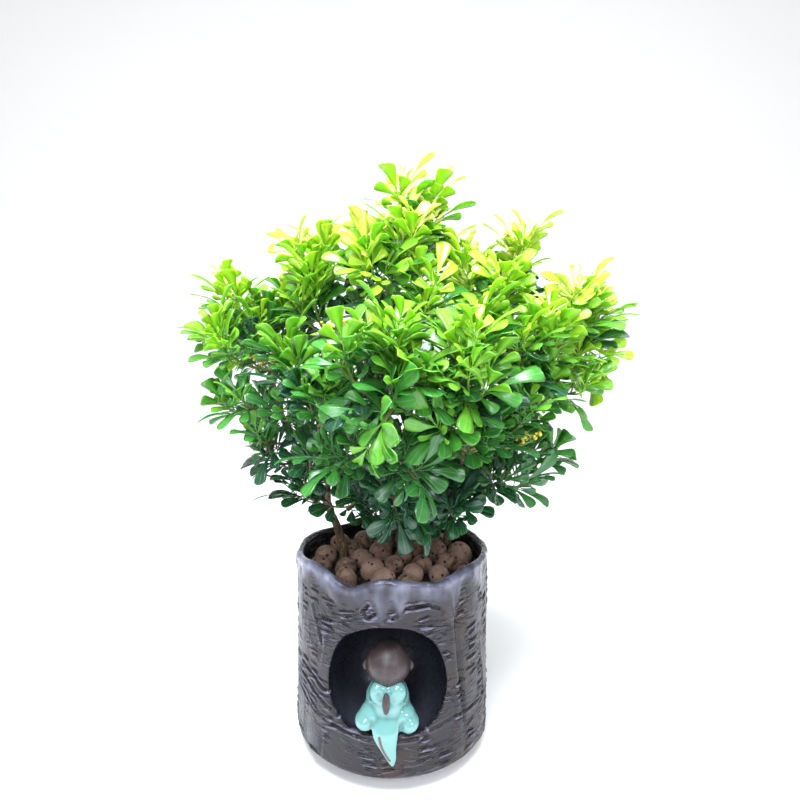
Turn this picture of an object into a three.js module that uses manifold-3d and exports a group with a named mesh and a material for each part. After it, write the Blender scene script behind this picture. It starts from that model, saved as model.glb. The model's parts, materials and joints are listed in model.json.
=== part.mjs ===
// A young perfume tree with several stems, growing in a stump-shaped pot. The pot has a round
// niche in front, where a small praying figure kneels, and its soil is covered with clay balls.
// Millimetres, +Z up. The origin is the middle of the pot's foot, and the front faces -Y.
import * as THREE from 'three';
import { mergeVertices } from 'three/addons/utils/BufferGeometryUtils.js';
import Module from 'manifold-3d';

const wasm = await Module();
wasm.setup();

// Clearance between pieces that touch
const GAP = 0.3;

// Pot. Azimuths are in degrees, 0 at the front and 90 on the right.
const POT_FOOT_RADIUS = 86.7;
const POT_RIM_RADIUS = 85;
const POT_HEIGHT = 160;
const POT_BORE_RADIUS = 79;
const POT_FLOOR = 11;
const POT_COLUMNS = 50;
const POT_ROWS = [0.03, 0.17, 0.31, 0.45, 0.59, 0.73, 0.86];
const DRAIN_RADIUS = 7;
const DRAIN_CENTRE = [0, 50];

// Niche: an egg-shaped hollow with a flat floor, walled off from the soil. Its upper half is taller.
const NICHE_CENTRE = new THREE.Vector3(-2.7, -62, 71);
const NICHE_RADII = new THREE.Vector3(47, 50, 46);
const NICHE_RISE = 59;
const NICHE_FLOOR = 36.7;
const NICHE_WALL = 5.5;

// Filling
const FILL_COLUMNS = 24;
const SOIL_TOP = 139;
const BED_THICKNESS = 5;
const BALL_COUNT = 27;
const BALL_SPREAD = 68;
const BALL_HEIGHT = 147;
const BALL_RADIUS = [9.2, 11.6];
const BALL_SIDES = 6;

// Figure
const HEAD_CENTRE = new THREE.Vector3(-2.5, -68, 85);
const HEAD_RADII = new THREE.Vector3(18, 17, 18.5);
const HEAD_TILT = 24;
const HANDS_CENTRE = new THREE.Vector3(-3.7, -89.5, 65.5);
const HANDS_RADII = new THREE.Vector3(2.9, 3.2, 8);

// Leaves. Lengths are for a leaf of size 1.
const LEAF_THICKNESS = 0.7;
const STALK_HALF_WIDTH = [0.5, 0.8];
const LEAFLETS = [
  { angle: -40, start: 9, length: 23 },
  { angle: 0, start: 13, length: 28 },
  { angle: 40, start: 9, length: 23 },
];
const LEAFLET_HALF_WIDTH = 0.25;
const LEAF_DROOP = 0.0078;
const LEAF_CUP = 0.007;
const LEAF_TURN = 137.5;
// How far below its shoot's tip each leaf stands, in millimetres, and how far it leans out
const LEAVES = [{ below: 0.5, pitch: 12 }, { below: 8, pitch: 34 }, { below: 20, pitch: 50 }];
const FULL_SHOOT_HEIGHT = 345;
const TWIG_RADIUS = [1.2, 0.9];

// Woody stems: each branch leaves a joint of an earlier one, and its joints carry the twigs.
const STEMS = {
  stem_left: {
    radius: [4.2, 1.7],
    joints: [[-44, 4, 112], [-46, 3, 158], [-58, 0, 196], [-78, -5, 236], [-95, -10, 276], [-106, -8, 318]],
    forks: [
      { from: 2, joints: [[-55, -30, 236], [-58, -55, 276]] },
      { from: 3, joints: [[-88, 32, 268], [-94, 58, 306]] },
    ],
  },
  stem_centre: {
    radius: [4, 1.6],
    joints: [[6, 22, 112], [8, 20, 160], [2, 14, 206], [-8, 6, 250], [-14, 0, 296], [-8, -4, 340], [4, -4, 384]],
    forks: [
      { from: 3, joints: [[-32, 0, 296], [-50, -4, 340]] },
      { from: 2, joints: [[-2, -26, 234], [-8, -66, 264], [-4, -92, 296]] },
    ],
  },
  stem_right: {
    radius: [4.2, 1.7],
    joints: [[48, 20, 112], [52, 18, 160], [62, 12, 200], [78, 6, 240], [92, 2, 280], [100, 0, 320], [98, 2, 362]],
    forks: [
      { from: 3, joints: [[112, 0, 268], [140, -2, 298], [156, 0, 330]] },
      { from: 2, joints: [[60, -26, 230], [56, -60, 258], [50, -86, 288]] },
      { from: 4, joints: [[96, -34, 306]] },
    ],
  },
  stem_back: {
    radius: [3.8, 1.6],
    joints: [[-8, 50, 112], [-10, 54, 160], [-14, 66, 206], [-18, 80, 250], [-14, 90, 296], [-4, 82, 342]],
    forks: [
      { from: 2, joints: [[-48, 84, 240], [-78, 96, 272]] },
      { from: 2, joints: [[30, 90, 238], [68, 100, 272], [98, 90, 308]] },
    ],
  },
};
const LOWEST_TWIG_JOINT = 190;

// Leafy twigs: the tips of each one. A second tip grows from the middle of the first's twig.
const SPRAYS = [
  [[33, 5, 462]], [[9, -35, 425]], [[-14, -60, 395]], [[-62, 10, 417]], [[-65, -30, 383]],
  [[-133, 0, 372], [-107, 20, 363]], [[-140, -30, 340]], [[-29, -125, 330], [-3, -120, 340]],
  [[32, -60, 374]], [[109, 10, 417]], [[65, -10, 399]], [[91, -40, 376]], [[66, -80, 354]],
  [[163, -10, 371]], [[176, 10, 364], [174, 10, 332]], [[127, -60, 340]],
  [[45, -125, 332], [60, -130, 305]], [[15, -130, 318], [-3, -140, 290]], [[96, -80, 336]],
  [[156, -20, 300]], [[130, -20, 242]], [[98, -50, 223]], [[-130, -20, 283]],
  [[-104, -12, 238]], [[-73, -10, 208]], [[-48, -90, 296], [-78, -60, 328]],
  [[-32, -100, 254]], [[18, -110, 246]], [[37, -120, 280]], [[58, -90, 263]],
  [[87, -70, 275], [119, -50, 300]], [[3, -66, 212]], [[54, -46, 202]],
  [[-20, 60, 430], [45, 65, 425]], [[95, 70, 395]], [[-90, 65, 390], [-140, 50, 325]],
  [[150, 60, 350], [150, 80, 280]], [[-20, 125, 370], [50, 130, 365]],
  [[-85, 120, 330], [-125, 90, 262]], [[110, 120, 325]], [[10, 150, 300]],
  [[-60, 140, 265], [-80, 85, 208]], [[75, 140, 255]], [[90, 80, 215], [10, 130, 215]],
];

// Flower sprays: tiny yellow balls on thin stalks
const PANICLES = [
  [-104, -46, 326], [-42, -62, 356], [-12, -96, 352], [64, -96, 322], [112, -66, 268], [40, 112, 392],
];
const PANICLE_BRANCHES = 2;
const PANICLE_REACH = 9;
const BEAD_RADIUS = 1.7;

const UP = new THREE.Vector3(0, 0, 1);

const radians = THREE.MathUtils.degToRad;
const bell = (offset, width) => Math.exp(-((offset / width) ** 2));
const turnFrom = (azimuth, centre) => ((azimuth - centre + 540) % 360) - 180;

// An even spread over 0 to 1 that never repeats: the golden section's fractions
const vary = (index) => (index * 0.618034) % 1;

// A closed surface through rings of equal point counts, with a point at each end.
// The rings turn anticlockwise about the way from the first end to the last.
function loft(first, rings, last) {
  const sides = rings[0].length;
  const positions = [first, ...rings.flat(), last].flatMap((point) => point.toArray());
  const at = (ring, side) => 1 + ring * sides + (side % sides);
  const end = 1 + rings.length * sides;
  const index = [];
  for (let side = 0; side < sides; side++) {
    index.push(0, at(0, side + 1), at(0, side));
    for (let ring = 0; ring < rings.length - 1; ring++) {
      index.push(at(ring, side), at(ring, side + 1), at(ring + 1, side + 1));
      index.push(at(ring, side), at(ring + 1, side + 1), at(ring + 1, side));
    }
    index.push(end, at(rings.length - 1, side), at(rings.length - 1, side + 1));
  }
  return shell(positions, index);
}

function shell(positions, index) {
  const geometry = new THREE.BufferGeometry();
  geometry.setAttribute('position', new THREE.Float32BufferAttribute(positions, 3));
  geometry.setIndex(index);
  return geometry;
}

// A solid for joining and cutting
function solid(geometry) {
  const bare = geometry.clone();
  bare.deleteAttribute('normal');
  bare.deleteAttribute('uv');
  const merged = mergeVertices(bare, 1e-4);
  return new wasm.Manifold(new wasm.Mesh({
    numProp: 3,
    vertProperties: new Float32Array(merged.attributes.position.array),
    triVerts: new Uint32Array(merged.index.array),
  }));
}

// The surface of a body, without the slivers and loose scraps that joining and cutting leave
function geometryOf(body, tolerance) {
  const mesh = mainPart(body.asOriginal().simplify(tolerance)).getMesh();
  return shell(Array.from(mesh.vertProperties), Array.from(mesh.triVerts));
}

const join = (bodies) => wasm.Manifold.union(bodies);

// The piece of a cut body that holds the most
function mainPart(body) {
  const parts = body.decompose();
  return parts.reduce((best, part) => (part.volume() > best.volume() ? part : best));
}

// The piece of a cut body that holds a point
function partAt(body, point) {
  const probe = ellipsoid(point, new THREE.Vector3(0.5, 0.5, 0.5), 6, 4);
  return body.decompose().find((part) => part.intersect(probe).volume() > 0);
}

function ellipsoid(centre, radii, segments, rows, tilt = 0, rise = radii.z) {
  const geometry = new THREE.SphereGeometry(1, segments, rows);
  geometry.rotateX(Math.PI / 2);
  geometry.scale(radii.x, radii.y, radii.z);
  const place = geometry.attributes.position;
  for (let index = 0; index < place.count; index++) {
    if (place.getZ(index) > 0) place.setZ(index, place.getZ(index) * rise / radii.z);
  }
  geometry.rotateX(radians(tilt));
  geometry.translate(centre.x, centre.y, centre.z);
  return solid(geometry);
}

// A block from low to high corners
function block(low, high) {
  const size = new THREE.Vector3().subVectors(high, low);
  const geometry = new THREE.BoxGeometry(size.x, size.y, size.z);
  geometry.translate(...new THREE.Vector3().addVectors(low, high).multiplyScalar(0.5).toArray());
  return solid(geometry);
}

// A round rod along a curve, tapering from the first radius to the second, with a pointed end
function rod(curve, steps, sides, radii) {
  const frames = curve.computeFrenetFrames(steps, false);
  const rings = [];
  for (let step = 0; step <= steps; step++) {
    const centre = curve.getPointAt(step / steps);
    const radius = THREE.MathUtils.lerp(radii[0], radii[1], step / steps);
    const ring = [];
    for (let side = 0; side < sides; side++) {
      const angle = (side / sides) * 2 * Math.PI;
      ring.push(centre.clone()
        .addScaledVector(frames.normals[step], radius * Math.cos(angle))
        .addScaledVector(frames.binormals[step], radius * Math.sin(angle)));
    }
    rings.push(ring);
  }
  const point = curve.getPointAt(1).addScaledVector(curve.getTangentAt(1), radii[1]);
  return solid(loft(curve.getPointAt(0), rings, point));
}

// Pot

// The lip rises on the left, dips beside it, sags at the front right and waves round the back.
const LIP_WAVES = [
  { at: -50, rise: 4, width: 15 }, { at: -23, rise: -6.5, width: 11 }, { at: -4, rise: 2, width: 10 },
  { at: 25, rise: -3.5, width: 12 }, { at: 50, rise: 1.5, width: 12 }, { at: 150, rise: 2, width: 30 },
  { at: -140, rise: -3, width: 20 },
];

function rimHeight(azimuth) {
  return LIP_WAVES.reduce((height, { at, rise, width }) =>
    height + rise * bell(turnFrom(azimuth, at), width), POT_HEIGHT);
}

// How far the bark-like wall stands out: slow waves, a split down the right of the niche
// with a fold beside it, and a ledge that runs down from the left.
function relief(azimuth, height) {
  const waves = 0.5 * Math.sin(radians(7 * azimuth + height)) + 0.4 * Math.sin(radians(13 * azimuth - 2 * height));
  const splitAzimuth = 36 + (139 - height) * 0.07;
  const splitFade = bell(height - 90, 55);
  const fromSplit = turnFrom(azimuth, splitAzimuth);
  const split = splitFade * (1.6 * bell(fromSplit + 6, 5) - 2 * bell(fromSplit, 3));
  const ledgeHeight = 47 - (turnFrom(azimuth, 0) + 30) * 0.55;
  const ledge = 1.4 * bell(turnFrom(azimuth, -48), 22) * bell(height - ledgeHeight, 9);
  return waves + split + ledge;
}

function potRing(radiusAt, heightAt, columns = POT_COLUMNS) {
  const ring = [];
  for (let column = 0; column < columns; column++) {
    const azimuth = (column / columns) * 360;
    const height = heightAt(azimuth);
    const radius = radiusAt(azimuth, height);
    ring.push(new THREE.Vector3(
      radius * Math.sin(radians(azimuth)), -radius * Math.cos(radians(azimuth)), height));
  }
  return ring;
}

const wallRadius = (azimuth, height) =>
  THREE.MathUtils.lerp(POT_FOOT_RADIUS, POT_RIM_RADIUS, height / POT_HEIGHT) + relief(azimuth, height);

function outerRings(grow) {
  return POT_ROWS.map((share) => potRing(
    (azimuth, height) => wallRadius(azimuth, height) + grow,
    (azimuth) => share * rimHeight(azimuth)));
}

// The space that only the pot may fill: its full outline, less the hollow of the niche
function potOutline(grow) {
  const foot = potRing(() => POT_FOOT_RADIUS - 3 + grow, () => -grow);
  const top = potRing((azimuth, height) => wallRadius(azimuth, height) + grow, rimHeight);
  return solid(loft(new THREE.Vector3(0, 0, -grow), [foot, ...outerRings(grow), top],
    new THREE.Vector3(0, 0, POT_HEIGHT)));
}

function nicheHollow(shrink) {
  const radii = NICHE_RADII.clone().subScalar(shrink);
  const floor = NICHE_FLOOR + shrink;
  const above = block(new THREE.Vector3(-100, -150, floor), new THREE.Vector3(100, 50, 150));
  return ellipsoid(NICHE_CENTRE, radii, 20, 12, 0, NICHE_RISE - shrink).intersect(above);
}

function nicheShell(grow) {
  const thickness = NICHE_WALL + grow;
  return ellipsoid(NICHE_CENTRE, NICHE_RADII.clone().addScalar(thickness), 14, 8, 0, NICHE_RISE + thickness);
}

function makePot() {
  const foot = potRing(() => POT_FOOT_RADIUS - 3, () => 0);
  const lip = [
    potRing((azimuth, height) => wallRadius(azimuth, height), (azimuth) => rimHeight(azimuth) - 4),
    potRing(() => POT_RIM_RADIUS - 1.5, (azimuth) => rimHeight(azimuth) - 0.8),
    potRing(() => POT_RIM_RADIUS - 5, (azimuth) => rimHeight(azimuth) - 0.4),
    potRing(() => POT_BORE_RADIUS, (azimuth) => rimHeight(azimuth) - 4.5),
  ];
  const bore = [
    potRing(() => POT_BORE_RADIUS, () => POT_FLOOR + 4),
    potRing(() => POT_BORE_RADIUS - 4, () => POT_FLOOR),
  ];
  const wall = solid(loft(new THREE.Vector3(0, 0, 0), [foot, ...outerRings(0), ...lip, ...bore],
    new THREE.Vector3(0, 0, POT_FLOOR)));
  const lining = nicheShell(0).intersect(potOutline(-2));
  const drain = new THREE.CylinderGeometry(DRAIN_RADIUS, DRAIN_RADIUS, 3 * POT_FLOOR, 16);
  drain.rotateX(Math.PI / 2);
  drain.translate(...DRAIN_CENTRE, 0);
  return wall.add(lining).subtract(nicheHollow(0)).subtract(solid(drain));
}

// Filling

function borePlug(low, high, gap) {
  const ring = (height, radius) => potRing(() => radius, () => height, FILL_COLUMNS);
  return solid(loft(new THREE.Vector3(0, 0, low),
    [ring(low, POT_BORE_RADIUS - 4 - gap), ring(low + 4, POT_BORE_RADIUS - gap), ring(high, POT_BORE_RADIUS - gap)],
    new THREE.Vector3(0, 0, high)));
}

function makeSoil() {
  return borePlug(POT_FLOOR + GAP, SOIL_TOP, GAP).subtract(nicheShell(GAP));
}

// The upper part of a clay ball, on a blunt root
function dome(centre, radius, turn) {
  const ring = (latitude) => {
    const points = [];
    for (let side = 0; side < BALL_SIDES; side++) {
      const angle = turn + (side / BALL_SIDES) * 2 * Math.PI;
      const reach = radius * Math.cos(radians(latitude));
      points.push(new THREE.Vector3(
        reach * Math.cos(angle), reach * Math.sin(angle), radius * Math.sin(radians(latitude))).add(centre));
    }
    return points;
  };
  const below = new THREE.Vector3(0, 0, -0.8 * radius).add(centre);
  const above = new THREE.Vector3(0, 0, radius).add(centre);
  return solid(loft(below, [ring(-12), ring(42)], above));
}

// Clay balls in a sunflower's order, half sunk in a thin bed
function makePebbles() {
  const bodies = [borePlug(SOIL_TOP + GAP - 4, SOIL_TOP + GAP + BED_THICKNESS, 2 * GAP)];
  for (let ball = 0; ball < BALL_COUNT; ball++) {
    const angle = radians(ball * LEAF_TURN);
    const reach = BALL_SPREAD * Math.sqrt((ball + 0.5) / BALL_COUNT);
    const radius = THREE.MathUtils.lerp(...BALL_RADIUS, vary(ball));
    const centre = new THREE.Vector3(
      reach * Math.cos(angle), reach * Math.sin(angle), BALL_HEIGHT + 3 * (vary(ball * 3) - 0.5));
    bodies.push(dome(centre, radius, angle * 2));
  }
  const space = borePlug(SOIL_TOP + GAP, POT_HEIGHT + 10, 2 * GAP);
  return join(bodies).intersect(space);
}

// Figure

// An egg that narrows towards its lower end
function egg(centre, radii, taper, tilt, segments, rows) {
  const geometry = new THREE.SphereGeometry(1, segments, rows);
  geometry.rotateX(Math.PI / 2);
  const place = geometry.attributes.position;
  for (let index = 0; index < place.count; index++) {
    const below = Math.max(0, -place.getZ(index));
    const width = 1 - taper * below * below;
    place.setXYZ(index, place.getX(index) * width, place.getY(index) * width, place.getZ(index));
  }
  geometry.scale(radii.x, radii.y, radii.z);
  geometry.rotateX(radians(tilt));
  geometry.translate(centre.x, centre.y, centre.z);
  return solid(geometry);
}

function makeHead(grow) {
  const skull = egg(HEAD_CENTRE, HEAD_RADII.clone().addScalar(grow), 0.3, -HEAD_TILT, 12, 7);
  const ears = [-1, 1].map((side) => ellipsoid(
    new THREE.Vector3(HEAD_CENTRE.x + side * 18, HEAD_CENTRE.y + 2, HEAD_CENTRE.z - 2),
    new THREE.Vector3(3.2, 2.6, 4.6).addScalar(grow), 6, 4));
  return join([skull, ...ears]);
}

function makeHands(grow) {
  return ellipsoid(HANDS_CENTRE, HANDS_RADII.clone().addScalar(grow), 7, 5, -12);
}

// Kneeling robe: body, sleeves that meet at the hands, knees and a tail that hangs over the sill
function makeRobe() {
  const middle = HEAD_CENTRE.x;
  const body = ellipsoid(new THREE.Vector3(middle, -64, 56), new THREE.Vector3(15.5, 15, 21), 11, 7);
  const parts = [body];
  for (const side of [-1, 1]) {
    const sleeve = new THREE.CatmullRomCurve3([
      new THREE.Vector3(middle + side * 8.5, -67, 67),
      new THREE.Vector3(middle + side * 11.5, -78, 58),
      new THREE.Vector3(middle + side * 8, -85.5, 55),
      new THREE.Vector3(middle + side * 1.5, -89.5, 60),
    ]);
    parts.push(rod(sleeve, 4, 7, [7.2, 4.5]));
    parts.push(ellipsoid(new THREE.Vector3(middle + side * 13.5, -77, 44.5), new THREE.Vector3(12, 14, 9), 8, 5));
  }
  const base = ellipsoid(new THREE.Vector3(middle, -68, 42), new THREE.Vector3(19, 19, 9), 10, 4);
  const tail = new THREE.CatmullRomCurve3([
    new THREE.Vector3(middle - 0.5, -80, 48),
    new THREE.Vector3(middle - 0.2, -88.5, 44),
    new THREE.Vector3(middle + 1.5, -91, 34),
    new THREE.Vector3(middle + 3.6, -91, 20),
  ]);
  const flap = tailPlate(tail, 5, [11.5, 4.5], 2.3);
  return join([...parts, base, flap])
    .subtract(makeHead(GAP))
    .subtract(makeHands(GAP))
    .subtract(potOutline(GAP).subtract(nicheHollow(GAP)));
}

// A flat-sided strap along a curve in a plane of constant X, narrowing to its end
function tailPlate(curve, steps, halfWidths, halfThickness) {
  const rings = [];
  for (let step = 0; step <= steps; step++) {
    const share = step / steps;
    const centre = curve.getPointAt(share);
    const forward = curve.getTangentAt(share);
    const across = new THREE.Vector3(1, 0, 0);
    const out = new THREE.Vector3().crossVectors(forward, across).normalize();
    const half = THREE.MathUtils.lerp(halfWidths[0], halfWidths[1], share ** 0.8);
    const ring = [];
    for (let corner = 0; corner < 8; corner++) {
      const angle = ((corner + 0.5) / 8) * 2 * Math.PI;
      ring.push(centre.clone()
        .addScaledVector(across, half * Math.cos(angle))
        .addScaledVector(out, halfThickness * Math.sin(angle)));
    }
    rings.push(ring);
  }
  const tip = curve.getPointAt(1).addScaledVector(curve.getTangentAt(1), 2);
  return solid(loft(curve.getPointAt(0), rings, tip));
}

// Stems and twigs

const vector = (point) => new THREE.Vector3(...point);

// A branch as solid wood, fattened by grow
function branch(points, radii, sides, grow) {
  const curve = new THREE.CatmullRomCurve3(points.map(vector));
  return rod(curve, 2 * (points.length - 1), sides, [radii[0] + grow, radii[1] + grow]);
}

function makeStem({ radius, joints, forks }, grow) {
  const bodies = [branch(joints, radius, 6, grow)];
  for (const fork of forks) {
    const share = fork.from / (joints.length - 1);
    const start = THREE.MathUtils.lerp(radius[0], radius[1], share) * 0.85;
    bodies.push(branch([joints[fork.from], ...fork.joints], [start, radius[1] * 0.8], 5, grow));
  }
  return join(bodies);
}

const twigJoints = Object.values(STEMS)
  .flatMap(({ joints, forks }) => [...joints, ...forks.flatMap((fork) => fork.joints)])
  .filter((joint) => joint[2] > LOWEST_TWIG_JOINT)
  .map(vector);

// The joint that a shoot grows from: the nearest, and rather below its tip than above it
function jointFor(tip) {
  const cost = (joint) => joint.distanceTo(tip) + Math.max(0, joint.z - tip.z + 5);
  return twigJoints.reduce((best, joint) => (cost(joint) < cost(best) ? joint : best));
}

// A shoot leaves sideways and then turns up to its tip.
function shoot(root, tip) {
  const sag = 0.08 * Math.hypot(tip.x - root.x, tip.y - root.y);
  const bend = new THREE.Vector3(
    THREE.MathUtils.lerp(root.x, tip.x, 0.78),
    THREE.MathUtils.lerp(root.y, tip.y, 0.78),
    THREE.MathUtils.lerp(root.z, tip.z, 0.35) - sag);
  return new THREE.QuadraticBezierCurve3(root, bend, tip);
}

function twig(curve, grow) {
  return rod(curve, 3, 3, [TWIG_RADIUS[0] + grow, TWIG_RADIUS[1] + grow]);
}

// Leaves

// The outline of a flat leaf: a stalk and three wedge-shaped leaflets cut to the rib
function leafOutline() {
  const [root, neck] = STALK_HALF_WIDTH;
  const shoulder = LEAFLETS[0].start - 1;
  const outline = [[0, -root], [shoulder, -neck]];
  LEAFLETS.forEach(({ angle, start, length }, number) => {
    const along = [Math.cos(radians(angle)), Math.sin(radians(angle))];
    const half = length * LEAFLET_HALF_WIDTH;
    for (const [share, across] of [[0.8, -half], [1, 0], [0.8, half]]) {
      outline.push([
        start + along[0] * share * length - along[1] * across,
        along[1] * share * length + along[0] * across,
      ]);
    }
    const notchSide = [-1, 1][number];
    if (notchSide) outline.push([LEAFLETS[1].start, notchSide * neck]);
  });
  outline.push([shoulder, neck], [0, root]);
  return outline;
}

const OUTLINE = leafOutline();
const FACES = THREE.ShapeUtils.triangulateShape(OUTLINE.map((point) => new THREE.Vector2(...point)), []);

// A leaf's place: where it leaves the twig, its direction and the side that faces up
function leafFrame(point, axis, turn, pitch) {
  const reference = Math.abs(axis.x) > 0.8 ? new THREE.Vector3(0, 1, 0) : new THREE.Vector3(1, 0, 0);
  const first = reference.addScaledVector(axis, -reference.dot(axis)).normalize();
  const second = new THREE.Vector3().crossVectors(axis, first);
  const outward = first.multiplyScalar(Math.cos(radians(turn))).addScaledVector(second, Math.sin(radians(turn)));
  const along = axis.clone().multiplyScalar(Math.cos(radians(pitch)))
    .addScaledVector(outward, Math.sin(radians(pitch)))
    .addScaledVector(UP, 0.55)
    .normalize();
  const face = axis.clone().multiplyScalar(Math.sin(radians(pitch)))
    .addScaledVector(outward, -Math.cos(radians(pitch)))
    .addScaledVector(UP, 0.6);
  face.addScaledVector(along, -face.dot(along)).normalize();
  return { point, along, face, side: new THREE.Vector3().crossVectors(face, along) };
}

// The outline laid on an arched sheet, as a thin plate with the same triangles on both faces
function leafPlate({ point, along, face, side }, size, thickness) {
  const top = [];
  const bottom = [];
  for (const [u, v] of OUTLINE) {
    const fall = -(LEAF_DROOP * u * u + LEAF_CUP * v * v) * size;
    const place = point.clone()
      .addScaledVector(along, u * size)
      .addScaledVector(side, v * size)
      .addScaledVector(face, fall);
    const normal = face.clone()
      .addScaledVector(along, 2 * LEAF_DROOP * u)
      .addScaledVector(side, 2 * LEAF_CUP * v)
      .normalize();
    top.push(place.clone().addScaledVector(normal, thickness / 2));
    bottom.push(place.clone().addScaledVector(normal, -thickness / 2));
  }
  const count = OUTLINE.length;
  const index = [];
  for (const [a, b, c] of FACES) {
    index.push(a, b, c);
    index.push(count + a, count + c, count + b);
  }
  for (let corner = 0; corner < count; corner++) {
    const next = (corner + 1) % count;
    index.push(corner, count + corner, count + next);
    index.push(corner, count + next, next);
  }
  return solid(shell([...top, ...bottom].flatMap((vertex) => vertex.toArray()), index));
}

// The ways to turn a leaf, tried in order until it meets nothing but its own twig
const LEAF_TRIES = [0, 12, -12, 24].flatMap((pitch) =>
  [0, 20, -20, 40, -40, 60, -60].map((turn) => ({ turn, pitch })));

// Everything placed so far, for keeping new pieces clear
const placed = [];

function place(name, body) {
  placed.push({ name, body, box: body.boundingBox() });
}

function meets(body, name) {
  const box = body.boundingBox();
  return placed.some((other) => other.name !== name
    && [0, 1, 2].every((axis) => box.min[axis] < other.box.max[axis] && box.max[axis] > other.box.min[axis])
    && body.intersect(other.body).volume() > 0);
}

// The next free leaf on a shoot, or nothing where it can't be turned clear
function growLeaf(name, curve, number, { below, pitch: lean }) {
  const share = 1 - below / (2 * curve.v2.distanceTo(curve.v1));
  const point = curve.getPoint(share);
  const axis = curve.getTangent(share).normalize();
  const size = 0.88 + 0.24 * vary(number);
  for (const { turn, pitch } of LEAF_TRIES) {
    const frame = leafFrame(point, axis, number * LEAF_TURN + turn, lean + pitch);
    if (!meets(leafPlate(frame, size, LEAF_THICKNESS + 2 * GAP), name)) {
      const leaf = leafPlate(frame, size, LEAF_THICKNESS);
      place(`leaf on ${name}`, leaf);
      return leaf;
    }
  }
  return null;
}

// Flower balls in pairs on three short branches near the end of a stalk, and one at its tip
function makePanicle(stalk, curve) {
  const bead = (point) => {
    const ball = new THREE.OctahedronGeometry(BEAD_RADIUS);
    ball.translate(...point.toArray());
    return solid(ball);
  };
  const bodies = [stalk, bead(curve.getPoint(1))];
  for (let number = 0; number < PANICLE_BRANCHES; number++) {
    const start = curve.getPoint(0.65 + 0.15 * number);
    const turn = radians(number * LEAF_TURN);
    const reach = PANICLE_REACH * (1 - 0.25 * number);
    const end = start.clone().add(new THREE.Vector3(
      reach * Math.cos(turn), reach * Math.sin(turn), 0.5 * reach));
    const branchlet = new THREE.LineCurve3(start, end);
    bodies.push(rod(branchlet, 1, 3, [0.5, 0.5]), bead(end), bead(branchlet.getPoint(0.55)));
  }
  return join(bodies);
}

const FINE = 0.05;
const FINISHES = {
  pot: { color: 0x4a4446, roughness: 0.5, tolerance: 0.1 },
  soil: { color: 0x2a221d, roughness: 0.95, tolerance: 0.2 },
  pebbles: { color: 0x7d5a48, roughness: 0.9, tolerance: 0.35 },
  bisque: { color: 0x5f4f4a, roughness: 0.55 },
  glaze: { color: 0x93d9c4, roughness: 0.15, tolerance: 0.15 },
  bark: { color: 0x7d7050, roughness: 0.8, tolerance: 0.15 },
  leaf: { color: 0x5fa83a, roughness: 0.35, tolerance: 0.25 },
  flower: { color: 0xe3c83c, roughness: 0.6, tolerance: 0.2 },
};

const group = new THREE.Group();

function add(name, body, finish) {
  const { tolerance = FINE, ...look } = FINISHES[finish];
  const mesh = new THREE.Mesh(geometryOf(body, tolerance), new THREE.MeshStandardMaterial(look));
  mesh.name = name;
  group.add(mesh);
}

const wood = Object.values(STEMS).map((stem) => makeStem(stem, GAP));
const clearOfWood = (body) => wood.reduce((rest, stem) => rest.subtract(stem), body);

add('pot', makePot(), 'pot');
add('soil', clearOfWood(makeSoil()), 'soil');
add('pebbles', clearOfWood(makePebbles()), 'pebbles');
add('figure_head', makeHead(0), 'bisque');
add('figure_hands', makeHands(0), 'bisque');
add('figure_robe', makeRobe(), 'glaze');
Object.entries(STEMS).forEach(([name, stem], number) => {
  add(name, makeStem(stem, 0), 'bark');
  place(name, wood[number]);
});

// Twigs and flower stalks come first, each clear of the wood and of the twigs before it.
const shoots = [];
const keepClear = [];

function addShoot(name, tips) {
  const main = shoot(jointFor(vector(tips[0])), vector(tips[0]));
  const curves = [main, ...tips.slice(1).map((tip) => shoot(main.getPoint(0.45), vector(tip)))];
  const twigs = join(curves.map((curve) => twig(curve, 0)));
  const clear = keepClear.reduce((rest, other) => rest.subtract(other), clearOfWood(twigs));
  const fat = join(curves.map((curve) => twig(curve, GAP)));
  keepClear.push(fat);
  const body = partAt(clear, vector(tips[0]));
  place(name, body);
  shoots.push({ name, curves, body });
}

const label = (number) => String(number + 1).padStart(2, '0');
SPRAYS.forEach((tips, number) => addShoot(`spray_${label(number)}`, tips));
PANICLES.forEach((tip, number) => addShoot(`flowers_${label(number)}`, [tip]));

for (const item of shoots.filter(({ name }) => name.startsWith('flowers'))) {
  const flowers = makePanicle(item.body, item.curves[0]);
  place(item.name, flowers);
  add(item.name, flowers, 'flower');
}

let leafNumber = 0;
for (const item of shoots.filter(({ name }) => name.startsWith('spray'))) {
  const bodies = [item.body];
  item.curves.forEach((curve) => {
    const leaves = curve.v2.z > FULL_SHOOT_HEIGHT ? LEAVES : LEAVES.slice(0, 2);
    leaves.forEach((spot) => {
      const leaf = growLeaf(item.name, curve, leafNumber, spot);
      leafNumber += 1;
      if (leaf) bodies.push(leaf);
    });
  });
  add(item.name, join(bodies), 'leaf');
}

export default group;
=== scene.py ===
# A young perfume tree in a stump-shaped stoneware pot, with a small glazed figure in the pot's
# niche. Lengths in lists and constants are millimetres, angles degrees. The front faces -Y.
import json
import math
import random

import bpy
import numpy as np
from bpy.props import FloatProperty, FloatVectorProperty, IntProperty, PointerProperty
from mathutils import Matrix, Vector
from mathutils.kdtree import KDTree

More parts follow.
